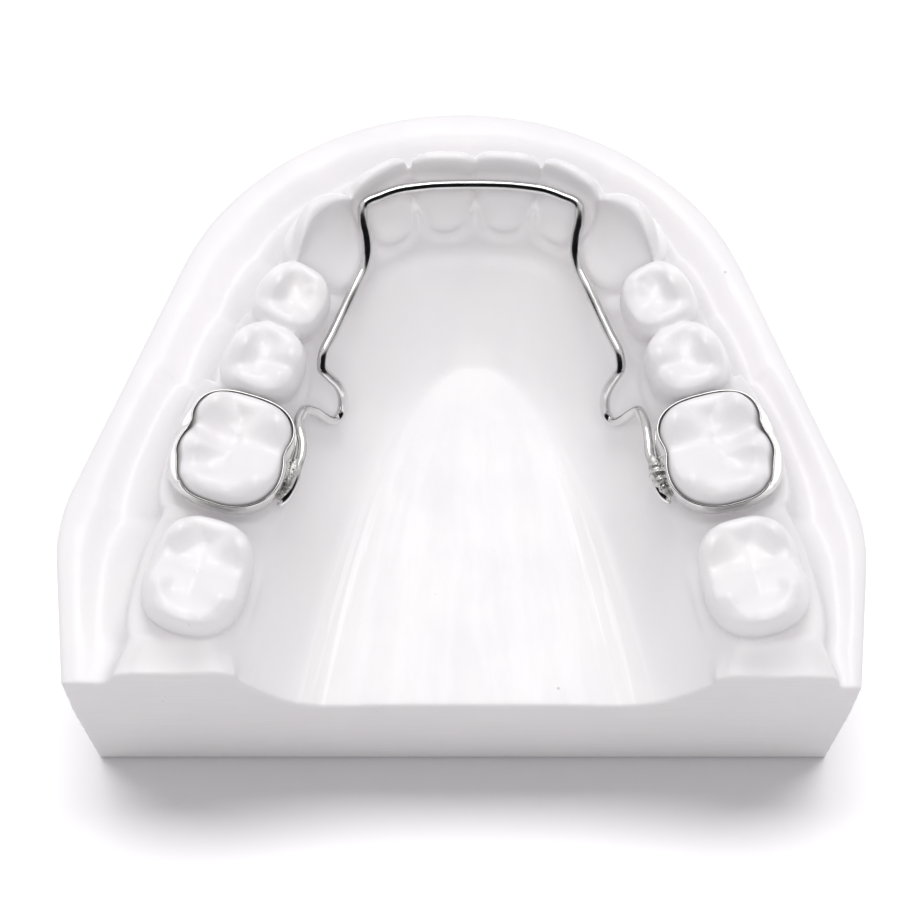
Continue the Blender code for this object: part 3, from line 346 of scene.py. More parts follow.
def curve_through(points, run, at):
    """Points of a smooth curve through the given ones, at distances along it."""
    return np.column_stack([through(list(zip(run, points[:, axis])), at) for axis in range(3)])


def section(share):
    """Cut through the base and gum at a share of the arch, -1 left heel to 1 right heel, from outside in."""
    side = -1 if share < 0 else 1
    run = abs(share) * ARCH_LENGTH
    middle, _, _ = arch_frame(side, run)
    x, y = base_rim(abs(share))
    rim = np.array([side * x, y])
    buccal, lingual, papilla = gum_levels(run)
    back = max(0.0, (run - SPANS[-1][0]) / (ARCH_LENGTH - SPANS[-1][0]))
    heel_crest = RETROMOLAR_LEFT_Z if side < 0 else RETROMOLAR_RIGHT_Z
    margin = GUM_Z + (heel_crest - GUM_Z) * back ** 2 + papilla
    land_heel = LAND_LEFT_HEEL_Z if side < 0 else LAND_RIGHT_HEEL_Z
    land = LAND_FRONT_Z + (land_heel - LAND_FRONT_Z) * abs(share) ** LAND_RISE_POWER
    outward = rim - middle
    reach = float(np.hypot(*outward))
    outward = outward / reach
    foot = rim - outward * WALL_DRAFT * land
    foot[1] = max(foot[1], HEEL_Y)
    walls = [(*foot, 0.0), (*(rim - outward * RIM_FLARE), land * 0.6), (*rim, land - EDGE_ROUND),
             (*(rim - outward * EDGE_ROUND), land)]
    sulcus = buccal + SULCUS_PLACE * (reach - buccal)
    dip = SULCUS_DEPTH * (1 - back)
    rows = [walls[-1]]
    gum_foot = max(land, margin - papilla - GUM_FALL) - 0.2 * dip
    for away, z in ((0.5 * (reach + sulcus), land + 0.15), (sulcus, land - dip * 0.8),
                    (0.5 * (sulcus + buccal + 0.6), gum_foot)):
        rows.append((*(middle + outward * away), z))
    for step, fall in ((0.6, -2.3), (0.35, -1.1), (0.0, -0.3), (-0.45, 0.0)):
        rows.append((*(middle + outward * (buccal + step)), margin + fall * (1 - 0.5 * back)))
    rows.append((*middle, margin + 0.1))
    way = abs(share) ** FLOOR_SPREAD
    foot = np.array([ARCH_SHIFT + side * FLOOR_HEEL_HALF_WIDTH * way ** FLOOR_POWER,
                     HEEL_Y + FLOOR_TIP_FROM_HEEL * (1 - way)])
    inward = foot - middle
    reach = float(np.hypot(*inward))
    inward = inward / reach
    for step, fall in ((-0.45, 0.0), (0.0, -0.35)):
        rows.append((*(middle + inward * (lingual + step)), margin + fall))
    top = float(np.interp(run, gum_middles, gum_halves)) + GUM_ROLL + 0.3
    top_z = margin - papilla - 1.1
    sideways = min(max((abs(share) - 0.1) / 0.26, 0), 1)
    power = FRONT_SLOPE_POWER + (SIDE_SLOPE_POWER - FRONT_SLOPE_POWER) * sideways
    for part in (0.0, 0.16, 0.36, 0.6, 0.82, 1.0):
        z = FLOOR_Z + (top_z - FLOOR_Z) * (1 - part) ** power
        rows.append((*(middle + inward * (top + (reach - top) * part)), z))
    for part in (0.5, 1.0):
        rows.append((foot[0] + (ARCH_SHIFT - foot[0]) * part, foot[1], FLOOR_Z))
    rows, walls = np.array(rows), np.array(walls)
    run = run_along(rows)
    at = np.interp(np.linspace(0, len(rows) - 1, GUM_POINTS), range(len(rows)), run)
    curved = curve_through(rows, run, at)
    at = np.linspace(0, len(walls) - 1, WALL_POINTS, endpoint=False)
    straight = np.column_stack([np.interp(at, range(len(walls)), walls[:, axis]) for axis in range(3)])
    return np.vstack([straight, curved])


def mesh_object(name, vertices, faces):
    """Object from points in mm, its faces turned outward and shaded smooth."""
    mesh = bpy.data.meshes.new(name)
    mesh.from_pydata([tuple(v) for v in np.asarray(vertices) * MM], [], faces)
    bm = bmesh.new()
    bm.from_mesh(mesh)
    bmesh.ops.recalc_face_normals(bm, faces=bm.faces)
    bm.to_mesh(mesh)
    bm.free()
    mesh.shade_smooth()
    obj = bpy.data.objects.new(name, mesh)
    bpy.context.scene.collection.objects.link(obj)
    return obj


def settle(obj):
    """Applies an object's modifiers to its mesh."""
    graph = bpy.context.evaluated_depsgraph_get()
    mesh = bpy.data.meshes.new_from_object(obj.evaluated_get(graph))
    obj.modifiers.clear()
    obj.data = mesh
    mesh.shade_smooth()


sections = [section(share) for share in np.linspace(-1, 1, STATIONS)]
rows = len(sections[0])
vertices = [np.vstack(sections)]
last = (STATIONS - 1) * rows
faces = [[s * rows + r, s * rows + r + 1, (s + 1) * rows + r + 1, (s + 1) * rows + r]
         for s in range(STATIONS - 1) for r in range(rows - 1)]
faces.append([s * rows for s in range(STATIONS)])
faces.append(list(range(rows)) + [last + r for r in range(rows - 2, -1, -1)])
reached = STATIONS * rows
for side in (-1, 1):
    for number, tooth in enumerate(TEETH):
        angles = np.linspace(0, 2 * math.pi, CROWN_POINTS, endpoint=False)
        rings, apex = (anterior_rings if tooth["form"] == "anterior" else posterior_rings)(tooth, angles)
        crown, crown_faces = closed_rows([place(side, number, *ring) for ring in rings],
                                         place(side, number, *apex))
        vertices.append(crown)
        faces += [[k + reached for k in face] for face in crown_faces]
        reached += len(crown)
cast = mesh_object("cast", np.vstack(vertices), faces)
VOXEL, QUICK_VOXEL, MOST_TRIANGLES = 0.2, 0.4, 190000
fuse = cast.modifiers.new("fuse", "REMESH")
fuse.mode, fuse.voxel_size, fuse.adaptivity = "VOXEL", VOXEL * MM, 0.0
soften = cast.modifiers.new("soften", "SMOOTH")
soften.factor, soften.iterations = 0.5, 4
settle(cast)
thin_out = cast.modifiers.new("thin out", "DECIMATE")
thin_out.ratio = min(1.0, MOST_TRIANGLES / (2 * len(cast.data.polygons)))
settle(cast)


def keep(obj, name, values):
    """Keeps a number, or three, at each vertex for the material to read."""
    values = np.asarray(values, dtype=float)
    kind, field = ("FLOAT", "value") if values.ndim == 1 else ("FLOAT_VECTOR", "vector")
    obj.data.attributes.new(name, kind, "POINT").data.foreach_set(field, values.ravel())


# Where the trimming wheel cut: the outer walls, the heel and the underside, up to the land's edge
surface = np.empty((len(cast.data.vertices), 3))
facing = np.empty_like(surface)
cast.data.vertices.foreach_get("co", surface.ravel())
cast.data.vertices.foreach_get("normal", facing.ravel())
surface /= MM
nearest = np.full(len(surface), 99.0)
for x0, y0, x1, y1 in zip(rim_x[:-1], rim_y[:-1], rim_x[1:], rim_y[1:]):
    nearest = np.minimum(nearest, line_gap(np.abs(surface[:, 0]), surface[:, 1], x0, y0, x1, y1)[0])
nearest = np.minimum(nearest, surface[:, 1] - HEEL_Y)
TRIMMED_REACH, TRIMMED_TILT = 2.2, 0.75
cut = np.clip((TRIMMED_REACH - nearest) / 0.6, 0, 1) * np.clip((TRIMMED_TILT - facing[:, 2]) / 0.3, 0, 1)
keep(cast, "trimmed", np.maximum(cut, surface[:, 2] < 0.3))

# Where the tongue space was wiped smooth, and where its floor gets painted highlights and painted shade: the
# place across its floor, in tenths of its half width there, the place along it in millimetres, and the share
# of wiping, which fades at the tip and up the sides
WIPED_TENTHS, WIPED_TOP_Z = 11.6, 18.5
way = np.clip(1 - (surface[:, 1] - HEEL_Y) / FLOOR_TIP_FROM_HEEL, 0.05, 1)
fan = 10 * (surface[:, 0] - ARCH_SHIFT) / (FLOOR_HEEL_HALF_WIDTH * way ** FLOOR_POWER)
in_trough = (np.clip(-surface[:, 1] / 6.0, 0, 1) * np.clip((WIPED_TENTHS - np.abs(fan)) / 1.5, 0, 1)
             * np.clip((WIPED_TOP_Z - surface[:, 2]) / 2.0, 0, 1) * (facing[:, 2] > 0.5))
keep(cast, "trough", np.column_stack([fan, surface[:, 1], in_trough]))


def add(tree, kind, values=None, **settings):
    """Node with its settings, and its inputs given by name or number as sockets or as plain values."""
    made = tree.nodes.new(kind)
    for key, value in settings.items():
        setattr(made, key, value)
    for socket, value in (values or {}).items():
        if isinstance(value, bpy.types.NodeSocket):
            tree.links.new(value, made.inputs[socket])
        else:
            made.inputs[socket].default_value = value
    return made


def math_node(tree, operation, first, second):
    return add(tree, "ShaderNodeMath", {0: first, 1: second}, operation=operation).outputs[0]


def times(tree, first, second):
    return math_node(tree, "MULTIPLY", first, second)


def plus(tree, first, second):
    return math_node(tree, "ADD", first, second)


def stretched(tree, place, factors):
    """Place multiplied axis by axis, so that what is drawn on it is stretched where the factor is small."""
    return add(tree, "ShaderNodeVectorMath", {0: place, 1: factors}, operation="MULTIPLY").outputs[0]


def three_of(tree, name):
    """The three numbers kept at the vertices under a name, together and one by one."""
    together = add(tree, "ShaderNodeAttribute", attribute_name=name).outputs["Vector"]
    return together, add(tree, "ShaderNodeSeparateXYZ", {0: together}).outputs


def blend(tree, share, first, second):
    """Colour between two colours."""
    return add(tree, "ShaderNodeMix", {0: share, 6: first, 7: second}, data_type="RGBA").outputs[2]


def ranged(tree, value, from_min, from_max, to_min=0.0, to_max=1.0):
    return add(tree, "ShaderNodeMapRange", {"Value": value, "From Min": from_min, "From Max": from_max,
                                            "To Min": to_min, "To Max": to_max},
               interpolation_type="SMOOTHSTEP").outputs[0]


def effect(name, inputs, outputs):
    """Empty node group with named sockets; gives the group, its input sockets and its output node."""
    group = bpy.data.node_groups.new(name, "ShaderNodeTree")
    for label, kind, value in inputs:
        socket = group.interface.new_socket(name=label, in_out="INPUT", socket_type=kind)
        if value is not None:
            socket.default_value = value
    for label, kind in outputs:
        group.interface.new_socket(name=label, in_out="OUTPUT", socket_type=kind)
    return group, group.nodes.new("NodeGroupInput").outputs, group.nodes.new("NodeGroupOutput")


def millimetres(tree):
    """Place on the object, in millimetres."""
    place_m = add(tree, "ShaderNodeTexCoord").outputs["Object"]
    return add(tree, "ShaderNodeVectorMath", {0: place_m, "Scale": 1 / MM}, operation="SCALE").outputs[0]


# Clouding: slow, soft change of a surface's tone
clouding, given, result = effect(
    "clouding", [("Place", "NodeSocketVector", None), ("Size", "NodeSocketFloat", 6.0)],
    [("Tone", "NodeSocketFloat")])
cloud = add(clouding, "ShaderNodeTexNoise", {"Vector": given["Place"], "Detail": 3.0, "Roughness": 0.55,
                                             "Scale": math_node(clouding, "DIVIDE", 1.0, given["Size"])})
clouding.links.new(ranged(clouding, cloud.outputs[0], 0.3, 0.7), result.inputs["Tone"])

# Pits: scattered round holes, as air bubbles leave
pitting, given, result = effect(
    "pitting", [("Place", "NodeSocketVector", None), ("Spacing", "NodeSocketFloat", 1.5),
                ("Radius", "NodeSocketFloat", 0.12), ("Share", "NodeSocketFloat", 0.3)],
    [("Pit", "NodeSocketFloat")])
cells = add(pitting, "ShaderNodeTexVoronoi",
            {"Vector": given["Place"], "Scale": math_node(pitting, "DIVIDE", 1.0, given["Spacing"])})
reach = math_node(pitting, "DIVIDE", given["Radius"], given["Spacing"])
inside = ranged(pitting, cells.outputs["Distance"], 0.0, reach, 1.0, 0.0)
chosen = add(pitting, "ShaderNodeSeparateColor", {0: cells.outputs["Color"]}).outputs[0]
chosen = math_node(pitting, "LESS_THAN", chosen, given["Share"])
pitting.links.new(math_node(pitting, "MULTIPLY", inside, chosen), result.inputs["Pit"])

# Grain: the fine unevenness of a set or rolled surface
grain, given, result = effect(
    "grain", [("Place", "NodeSocketVector", None), ("Size", "NodeSocketFloat", 0.3)],
    [("Height", "NodeSocketFloat")])
fine = add(grain, "ShaderNodeTexNoise", {"Vector": given["Place"], "Detail": 4.0, "Roughness": 0.6,
                                         "Scale": math_node(grain, "DIVIDE", 1.0, given["Size"])})
grain.links.new(fine.outputs[0], result.inputs["Height"])


def placed(tree, group, values):
    return add(tree, "ShaderNodeGroup", values, node_tree=group).outputs[0]


def emboss(tree, shader, height, strength, distance):
    """Relief of a material, from a height and its full depth in millimetres."""
    bump = add(tree, "ShaderNodeBump", {"Height": height, "Strength": strength, "Distance": distance * MM})
    tree.links.new(bump.outputs[0], shader.inputs["Normal"])


def finish_of(name, **constants):
    """New material; gives it with its tree and its shader, on which the even values are set."""
    material = bpy.data.materials.new(name)
    material.use_nodes = True
    shader = material.node_tree.nodes["Principled BSDF"]
    for socket, value in constants.items():
        shader.inputs[socket.replace("_", " ")].default_value = value
    return material, material.node_tree, shader


PLASTER, PLASTER_COOL = (0.905, 0.883, 0.888, 1), (0.872, 0.858, 0.878, 1)
PLASTER_TRIMMED_AND_SHADE, PLASTER_PAINTED_HIGHLIGHT = (0.862, 0.842, 0.846, 1), (0.95, 0.94, 0.945, 1)
PIT_PAINTED_SHADE = (0.66, 0.64, 0.65, 1)
plaster, tree, shader = finish_of("soaped white plaster", Coat_Roughness=0.22, Coat_IOR=1.4)
where = millimetres(tree)
trimmed = add(tree, "ShaderNodeAttribute", attribute_name="trimmed").outputs["Fac"]
clouds = placed(tree, clouding, {"Place": where, "Size": 7.0})
freckles = placed(tree, clouding, {"Place": where, "Size": 0.9})
pits = placed(tree, pitting, {"Place": where, "Spacing": 2.6, "Radius": 0.16, "Share": 0.22})
sand = placed(tree, grain, {"Place": where, "Size": 0.22})
# Strokes of the trimming wheel, which run level round the walls
strokes = placed(tree, grain, {"Place": stretched(tree, where, (0.10, 0.10, 4.2)), "Size": 1.0})
strokes_here = times(tree, strokes, trimmed)
# Broad streaks where the floor was wiped smooth, ridged and brightened with painted highlight, and thin lines
# along the foot of its sides, glossier and brightened with painted highlight, in a band of painted shade
trough, (across, along, in_trough) = three_of(tree, "trough")
wiped_streaks_and_highlight = placed(tree, grain, {"Place": stretched(tree, trough, (0.42, 0.05, 0.0)), "Size": 1.0})
wiped_streaks_and_highlight = times(tree, ranged(tree, wiped_streaks_and_highlight, 0.40, 0.62), in_trough)
across = math_node(tree, "ABSOLUTE", across, 0.0)
at_foot = times(tree, ranged(tree, across, 7.2, 8.4), ranged(tree, across, 10.4, 11.6, 1.0, 0.0))
at_foot = times(tree, at_foot, ranged(tree, along, -15.0, -4.0, 1.0, 0.0))
at_foot = times(tree, at_foot, in_trough)
thin = placed(tree, grain, {"Place": stretched(tree, trough, (1.9, 0.035, 0.0)), "Size": 1.0})
thin = times(tree, ranged(tree, thin, 0.52, 0.58), at_foot)

tone = blend(tree, times(tree, clouds, 0.8), PLASTER, PLASTER_COOL)
tone = blend(tree, times(tree, freckles, 0.18), tone, PLASTER_COOL)
# The trimmed walls and heel are darkened along the wheel's strokes; this darker tone is partly painted shade.
tone = blend(tree, times(tree, trimmed, ranged(tree, strokes, 0.3, 0.7)), tone, PLASTER_TRIMMED_AND_SHADE)
# Pits are darkened in colour: painted shade in the holes.
tone = blend(tree, times(tree, pits, 0.6), tone, PIT_PAINTED_SHADE)
# The floor's streaks and thin lines are brightened: painted highlight; the band at the foot of its sides is
# darkened: painted shade.
tone = blend(tree, times(tree, wiped_streaks_and_highlight, 0.55), tone, PLASTER_PAINTED_HIGHLIGHT)
tone = blend(tree, times(tree, at_foot, 0.7), tone, PLASTER_TRIMMED_AND_SHADE)
tone = blend(tree, times(tree, thin, 0.8), tone, PLASTER_PAINTED_HIGHLIGHT)
tree.links.new(tone, shader.inputs["Base Color"])
dull = plus(tree, ranged(tree, clouds, 0.0, 1.0, 0.34, 0.44), times(tree, trimmed, 0.25))
tree.links.new(plus(tree, dull, times(tree, sand, 0.06)), shader.inputs["Roughness"])
soaped = math_node(tree, "SUBTRACT", 1.0, trimmed)
gloss = plus(tree, ranged(tree, freckles, 0.0, 1.0, 0.30, 0.16), times(tree, thin, 0.6))
tree.links.new(times(tree, soaped, gloss), shader.inputs["Coat Weight"])
relief = plus(tree, times(tree, sand, 0.25), times(tree, pits, -3.0))
relief = plus(tree, relief, times(tree, strokes_here, 1.3))
relief = plus(tree, relief, times(tree, wiped_streaks_and_highlight, 0.6))
emboss(tree, shader, relief, 1.0, 0.03)
cast.data.materials.append(plaster)
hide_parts("study_model")
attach(cast, "root")

# 2. The bands: thin stainless steel strip, pressed to fit round each first molar and cemented over its
# crown. Both edges are smoothed and turned in a little, and the lower one dips under the cusps.
BAND_TOP, BAND_BOTTOM, BAND_SCALLOP, BAND_TOP_DIP, BAND_FURROW_SHARE = 4.9, 1.3, 1.3, 0.35, 0.25


def crown_rim(tooth, angles):
    return chewing_height(tooth, *posterior_wall(tooth, angles, 1.0))


def band_ring(side, angles, level, offset):
    """Ring round the banded molar at a share of the band's height, offset outward from the crown."""
    tooth = TEETH[BANDED]
    toward_contact = np.abs(np.cos(angles)) ** 4
    low = BAND_BOTTOM + BAND_SCALLOP * toward_contact
    height = low + (BAND_TOP - BAND_TOP_DIP * toward_contact - low) * level
    u, v = posterior_wall(tooth, angles, height / crown_rim(tooth, angles), offset, BAND_FURROW_SHARE)
    return place(side, BANDED, u, v, height)


def ring_tube(rings):
    """Closed surface through rings joined one to the next and the last to the first."""
    count, total = len(rings[0]), len(rings)
    faces = []
    for r in range(total):
        for k in range(count):
            a, b, step = r * count + k, r * count + (k + 1) % count, ((r + 1) % total - r) * count
            faces.append([a, b, b + step, a + step])
    return np.vstack(rings), faces


band_angles = np.linspace(0, 2 * math.pi, 200, endpoint=False)
levels = [0.0, 0.01, 0.03, *np.linspace(0.06, 0.94, 16), 0.97, 0.99, 1.0]
# Share of the strip's thickness left at each level near its rounded edges
roundness = {0.0: 0.35, 0.01: 0.75, 0.03: 0.95, 0.97: 0.95, 0.99: 0.75, 1.0: 0.35}
bands = []
# Each vertex keeps its level on the strip, whether it is inside, and how far to the distal side it is
for side, word in ((-1, "left"), (1, "right")):
    rings, on_strip = [], []
    for direction, order in ((1, levels), (-1, levels[::-1])):
        for level in order:
            spread = direction * BAND_WALL / 2 * roundness.get(level, 1.0)
            rings.append(band_ring(side, band_angles, level, BAND_CLEARANCE + BAND_WALL / 2 + spread))
            on_strip.append(np.column_stack([np.full(len(band_angles), level),
                                             np.full(len(band_angles), direction < 0),
                                             (1 + np.cos(band_angles)) / 2]))
    band = mesh_object(f"molar_band_{word}", *ring_tube(rings))
    keep(band, "strip", np.vstack(on_strip))
    bands.append(band)
    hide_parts(f"band_{word}")
    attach(band, "root")

# Scratches: hair lines that run along x and y of the place they are given, across its z
scratching, given, result = effect(
    "scratching", [("Place", "NodeSocketVector", None), ("Spacing", "NodeSocketFloat", 0.1),
                   ("Length", "NodeSocketFloat", 6.0)], [("Line", "NodeSocketFloat")])
per_length = math_node(scratching, "DIVIDE", 1.0, given["Length"])
per_spacing = math_node(scratching, "DIVIDE", 1.0, given["Spacing"])
factors = add(scratching, "ShaderNodeCombineXYZ", {0: per_length, 1: per_length, 2: per_spacing}).outputs[0]
hair = add(scratching, "ShaderNodeTexNoise", {"Vector": stretched(scratching, given["Place"], factors),
                                              "Scale": 1.0, "Detail": 3.0, "Roughness": 0.7})
scratching.links.new(ranged(scratching, hair.outputs[0], 0.48, 0.72), result.inputs["Line"])

STEEL, STEEL_SMUDGED, HEAT_STRAW = (0.76, 0.755, 0.75, 1), (0.64, 0.63, 0.625, 1), (0.55, 0.42, 0.25, 1)
BAND_PAINTED_GAP_SHADE = (0.16, 0.14, 0.13, 1)


def worn_steel(tree, shader, where, along, spacing, length):
    """Smudged, finely scratched polish, fed to colour, roughness and relief; gives the colour."""
    smudges = placed(tree, clouding, {"Place": where, "Size": 2.2})
    lines = placed(tree, scratching, {"Place": along, "Spacing": spacing, "Length": length})
    rough = plus(tree, ranged(tree, smudges, 0.35, 1.0, 0.07, 0.17), times(tree, lines, 0.1))
    tree.links.new(rough, shader.inputs["Roughness"])
    emboss(tree, shader, lines, 0.6, 0.004)
    return blend(tree, times(tree, smudges, 0.7), STEEL, STEEL_SMUDGED)


rolled, tree, shader = finish_of("rolled stainless band", Metallic=1.0)
where = millimetres(tree)
tone = worn_steel(tree, shader, where, where, 0.09, 5.0)
_, (level, inside, distal) = three_of(tree, "strip")
low, distal = ranged(tree, level, 0.04, 0.30, 1.0, 0.0), ranged(tree, distal, 0.7, 1.0)
heated = placed(tree, clouding, {"Place": where, "Size": 2.0})
tinted = times(tree, times(tree, low, distal), heated)
tone = blend(tree, times(tree, tinted, 0.9), tone, HEAT_STRAW)
# The band's lower edge and its inner face are darkened: painted shade of the gap between band and crown.
foot = times(tree, ranged(tree, level, 0.01, 0.09, 1.0, 0.0), 0.75)
tone = blend(tree, foot, tone, BAND_PAINTED_GAP_SHADE)
tone = blend(tree, times(tree, inside, 0.8), tone, BAND_PAINTED_GAP_SHADE)
tree.links.new(tone, shader.inputs["Base Color"])
for band in bands:
    band.data.materials.append(rolled)

# 3. The lingual arch: one length of polished 0.9 mm stainless wire, bent cold with pliers. It rests behind
# the incisors, steps in behind the canines, and has a U loop in front of each band to adjust its length.
WIRE_DIAMETER, WIRE_SEAT_GAP, WIRE_FRONT_Z, WIRE_SHIFT, LOOP_LOW_Z = 0.9, 0.1, 26.1, -0.35, 18.6
WIRE_RADIUS, WIRE_STEP, WIRE_SIDES = WIRE_DIAMETER / 2, 0.2, 28
END_ROUNDING, END_SHARE, LOOP_NUDGE_Z = 1.2, 0.6, 23.2
TAIL_ROUTE = [(298, 2.1), (290, 2.5), (282, 2.8), (274, 3.0), (266, 3.1), (258, 3.15), (250, 3.15)]
LOOP_ROUTE = [(5.04, 5.2, 23.6), (4.88, 5.25, 22.9), (4.80, 5.6, 21.6), (4.75, 6.2, 20.0),
              (4.69, 6.75, LOOP_LOW_Z + 0.3), (4.60, 7.1, LOOP_LOW_Z - 0.1), (4.50, 7.25, LOOP_LOW_Z + 0.1),
              (4.41, 7.2, 19.5), (4.34, 7.0, 20.5), (4.28, 6.5, 21.5), (4.24, 5.9, 22.4), (4.20, 5.4, 23.1)]
LEFT_LOOP_NUDGE = (-0.05, 0.4)
SIDE_ROUTE = [(4.05, 5.1, 23.5), (3.6, 5.05, 23.6), (3.2, 4.95, 23.7), (2.8, 4.7, 23.9), (2.42, 4.2, 24.0),
              (2.2, 3.5, 24.4), (2.07, 2.6, 25.0), (1.98, 1.6, 25.7)]
FRONT_ROUTE = [1.8, 1.5, 1.2, 0.9, 0.6, 0.3]
tooth_marks = [0.0] + [end for _, end in SPANS]


def wire_point(side, tooth_place, inward, z):
    """Place on the wire: counted in teeth from the midline, inward of the arch line, at a height."""
    centre, _, outward = arch_frame(side, float(np.interp(tooth_place, range(len(tooth_marks)), tooth_marks)))
    plan = centre - outward * inward
    return plan[0] + WIRE_SHIFT, plan[1], z


def front_inset(tooth_place):
    tooth = TEETH[min(int(tooth_place), 1)]
    return WIRE_RADIUS + WIRE_SEAT_GAP - float(lingual_face(tooth, (WIRE_FRONT_Z - GUM_Z) / tooth["height"]))


def tail_points(side):
    """The wire's tail along the tongue side of the band."""
    tooth, angles = TEETH[BANDED], np.radians(np.arange(360))
    rim = crown_rim(tooth, angles)
    offset = BAND_CLEARANCE + BAND_WALL + WIRE_SEAT_GAP + WIRE_RADIUS
    points = []
    for degrees, height in TAIL_ROUTE:
        u, v = posterior_wall(tooth, angles, height / rim[degrees], offset)
        here = slice(degrees, degrees + 1)
        points.append(tuple(place(side, BANDED, u[here], v[here], height)[0]))
    return points


def half_wire(side):
    """Wire from the tail to the midline; the left loop stands a little further forward and inward."""
    ahead, inward = LEFT_LOOP_NUDGE if side < 0 else (0.0, 0.0)
    points = tail_points(side)
    for where in LOOP_ROUTE:
        share = min(max((LOOP_NUDGE_Z - where[2]) / 2, 0), 1)
        points.append(wire_point(side, where[0] + ahead * share, where[1] + inward * share, where[2]))
    points += [wire_point(side, *where) for where in SIDE_ROUTE]
    return points + [wire_point(side, at, front_inset(at), WIRE_FRONT_Z) for at in FRONT_ROUTE]


route = np.array(half_wire(-1) + [wire_point(1, 0.0, front_inset(0.0), WIRE_FRONT_Z)] + half_wire(1)[::-1])
route_run = run_along(route)
at = np.linspace(0, route_run[-1], int(route_run[-1] / WIRE_STEP) + 1)
wire_line = curve_through(route, route_run, at)


def round_bar(line, radii, sides):
    """Closed round bar along a line of points, with a radius at each; its ring doesn't twist."""
    along = np.gradient(line, axis=0)
    along /= np.linalg.norm(along, axis=1)[:, None]
    across = np.cross(along[0], [0.0, 0.0, 1.0])
    rings = []
    turns = np.linspace(0, 2 * math.pi, sides, endpoint=False)
    for point, forward, radius in zip(line, along, radii):
        across = across - forward * (across @ forward)
        across /= np.linalg.norm(across)
        up = np.cross(forward, across)
        rings.append(point + radius * (np.outer(np.cos(turns), across) + np.outer(np.sin(turns), up)))
    return closed_rows(rings)


from_end = np.minimum(np.arange(len(wire_line)), np.arange(len(wire_line))[::-1]) * WIRE_STEP
radii = WIRE_RADIUS * (1 - END_SHARE * np.clip(1 - from_end / END_ROUNDING, 0, 1) ** 2)
wire = mesh_object("lingual_arch_wire", *round_bar(wire_line, radii, WIRE_SIDES))
# Each vertex keeps its place as if the wire were straight, for the hair lines that drawing left along it
turns = np.linspace(0, 2 * math.pi, WIRE_SIDES, endpoint=False)
keep(wire, "drawn", np.column_stack([np.repeat(at, WIRE_SIDES), np.tile(WIRE_RADIUS * np.cos(turns), len(at)),
                                     np.tile(WIRE_RADIUS * np.sin(turns), len(at))]))
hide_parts("lingual_arch")
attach(wire, "root")

drawn_wire, tree, shader = finish_of("drawn stainless wire", Metallic=1.0)
_, (run, side_on, upright) = three_of(tree, "drawn")
along = add(tree, "ShaderNodeCombineXYZ", {0: run, 1: times(tree, side_on, 60.0), 2: upright}).outputs[0]
tone = worn_steel(tree, shader, millimetres(tree), along, 0.07, 7.0)
tree.links.new(tone, shader.inputs["Base Color"])
wire.data.materials.append(drawn_wire)

# 4. The solder: silver solder that flowed from the band over the wire's tail and froze in lumps, then was
# brushed. The left joint is one smooth lens, and the right one froze in three ridged lumps.
SOLDER_START, SOLDER_LENGTH, SOLDER_RINGS, SOLDER_LIFT = 0.2, 4.3, 90, 0.30
HALF_THICK, HALF_HEIGHT, RIDGE_DEPTH, RIDGE_RADIANS = 0.48, 0.62, 0.16, 34
RIDGED_THICKER, RIDGED_NEARER, RIDGED_HIGHER = 0.26, 0.18, 0.08
joints = []
for side, word, ridges in ((-1, "left", 0.0), (1, "right", 1.0)):
    tail = np.array(tail_points(side))
    at = np.linspace(SOLDER_START, SOLDER_START + SOLDER_LENGTH, SOLDER_RINGS)
    spine = curve_through(tail, run_along(tail), at)
    turns = np.linspace(0, 2 * math.pi, 48, endpoint=False)
    rings = []
    for i, centre in enumerate(spine):
        along = spine[min(i + 1, SOLDER_RINGS - 1)] - spine[max(i - 1, 0)]
        toward_band = np.cross(along, [0, 0, 1]) * side
        toward_band /= np.linalg.norm(toward_band)
        share = i / (SOLDER_RINGS - 1)
        swell = max(math.sin(math.pi * (share * 0.94 + 0.03)), 0.0) ** 0.55
        swell *= 1 + ridges * RIDGE_DEPTH * math.sin(share * RIDGE_RADIANS + 0.6) * math.sin(math.pi * share)
        half_thick = HALF_THICK + RIDGED_THICKER * ridges * share
        across = SOLDER_LIFT + half_thick * swell * np.cos(turns) - RIDGED_NEARER * ridges * share
        upright = SOLDER_LIFT + (HALF_HEIGHT + RIDGED_HIGHER * ridges) * swell * np.sin(turns)
        rings.append(centre + np.outer(across, toward_band) + np.outer(upright, [0, 0, 1]))
    joint = mesh_object(f"solder_{word}", *closed_rows(rings))
    fuse = joint.modifiers.new("fuse", "REMESH")
    fuse.mode, fuse.voxel_size = "VOXEL", 0.06 * MM
    soften = joint.modifiers.new("soften", "SMOOTH")
    soften.factor, soften.iterations = 0.5, 5
    settle(joint)
    joints.append(joint)
    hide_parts(f"solder_joint_{word}")
    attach(joint, "root")

SOLDER, SOLDER_DARK = (0.80, 0.79, 0.775, 1), (0.36, 0.345, 0.33, 1)
solder, tree, shader = finish_of("silver solder", Metallic=1.0)
where = millimetres(tree)
pits = placed(tree, pitting, {"Place": where, "Spacing": 0.34, "Radius": 0.14, "Share": 0.55})
burnt = placed(tree, clouding, {"Place": where, "Size": 0.8})
lumps = placed(tree, grain, {"Place": where, "Size": 0.32})
lines = placed(tree, scratching, {"Place": where, "Spacing": 0.08, "Length": 1.5})
tone = blend(tree, times(tree, burnt, 0.35), SOLDER, SOLDER_DARK)
tree.links.new(blend(tree, times(tree, pits, 0.8), tone, SOLDER_DARK), shader.inputs["Base Color"])
rough = plus(tree, ranged(tree, burnt, 0.0, 1.0, 0.2, 0.38), times(tree, lines, 0.1))
tree.links.new(rough, shader.inputs["Roughness"])
emboss(tree, shader, math_node(tree, "SUBTRACT", times(tree, lumps, 2.2), pits), 1.0, 0.07)
for joint in joints:
    joint.data.materials.append(solder)

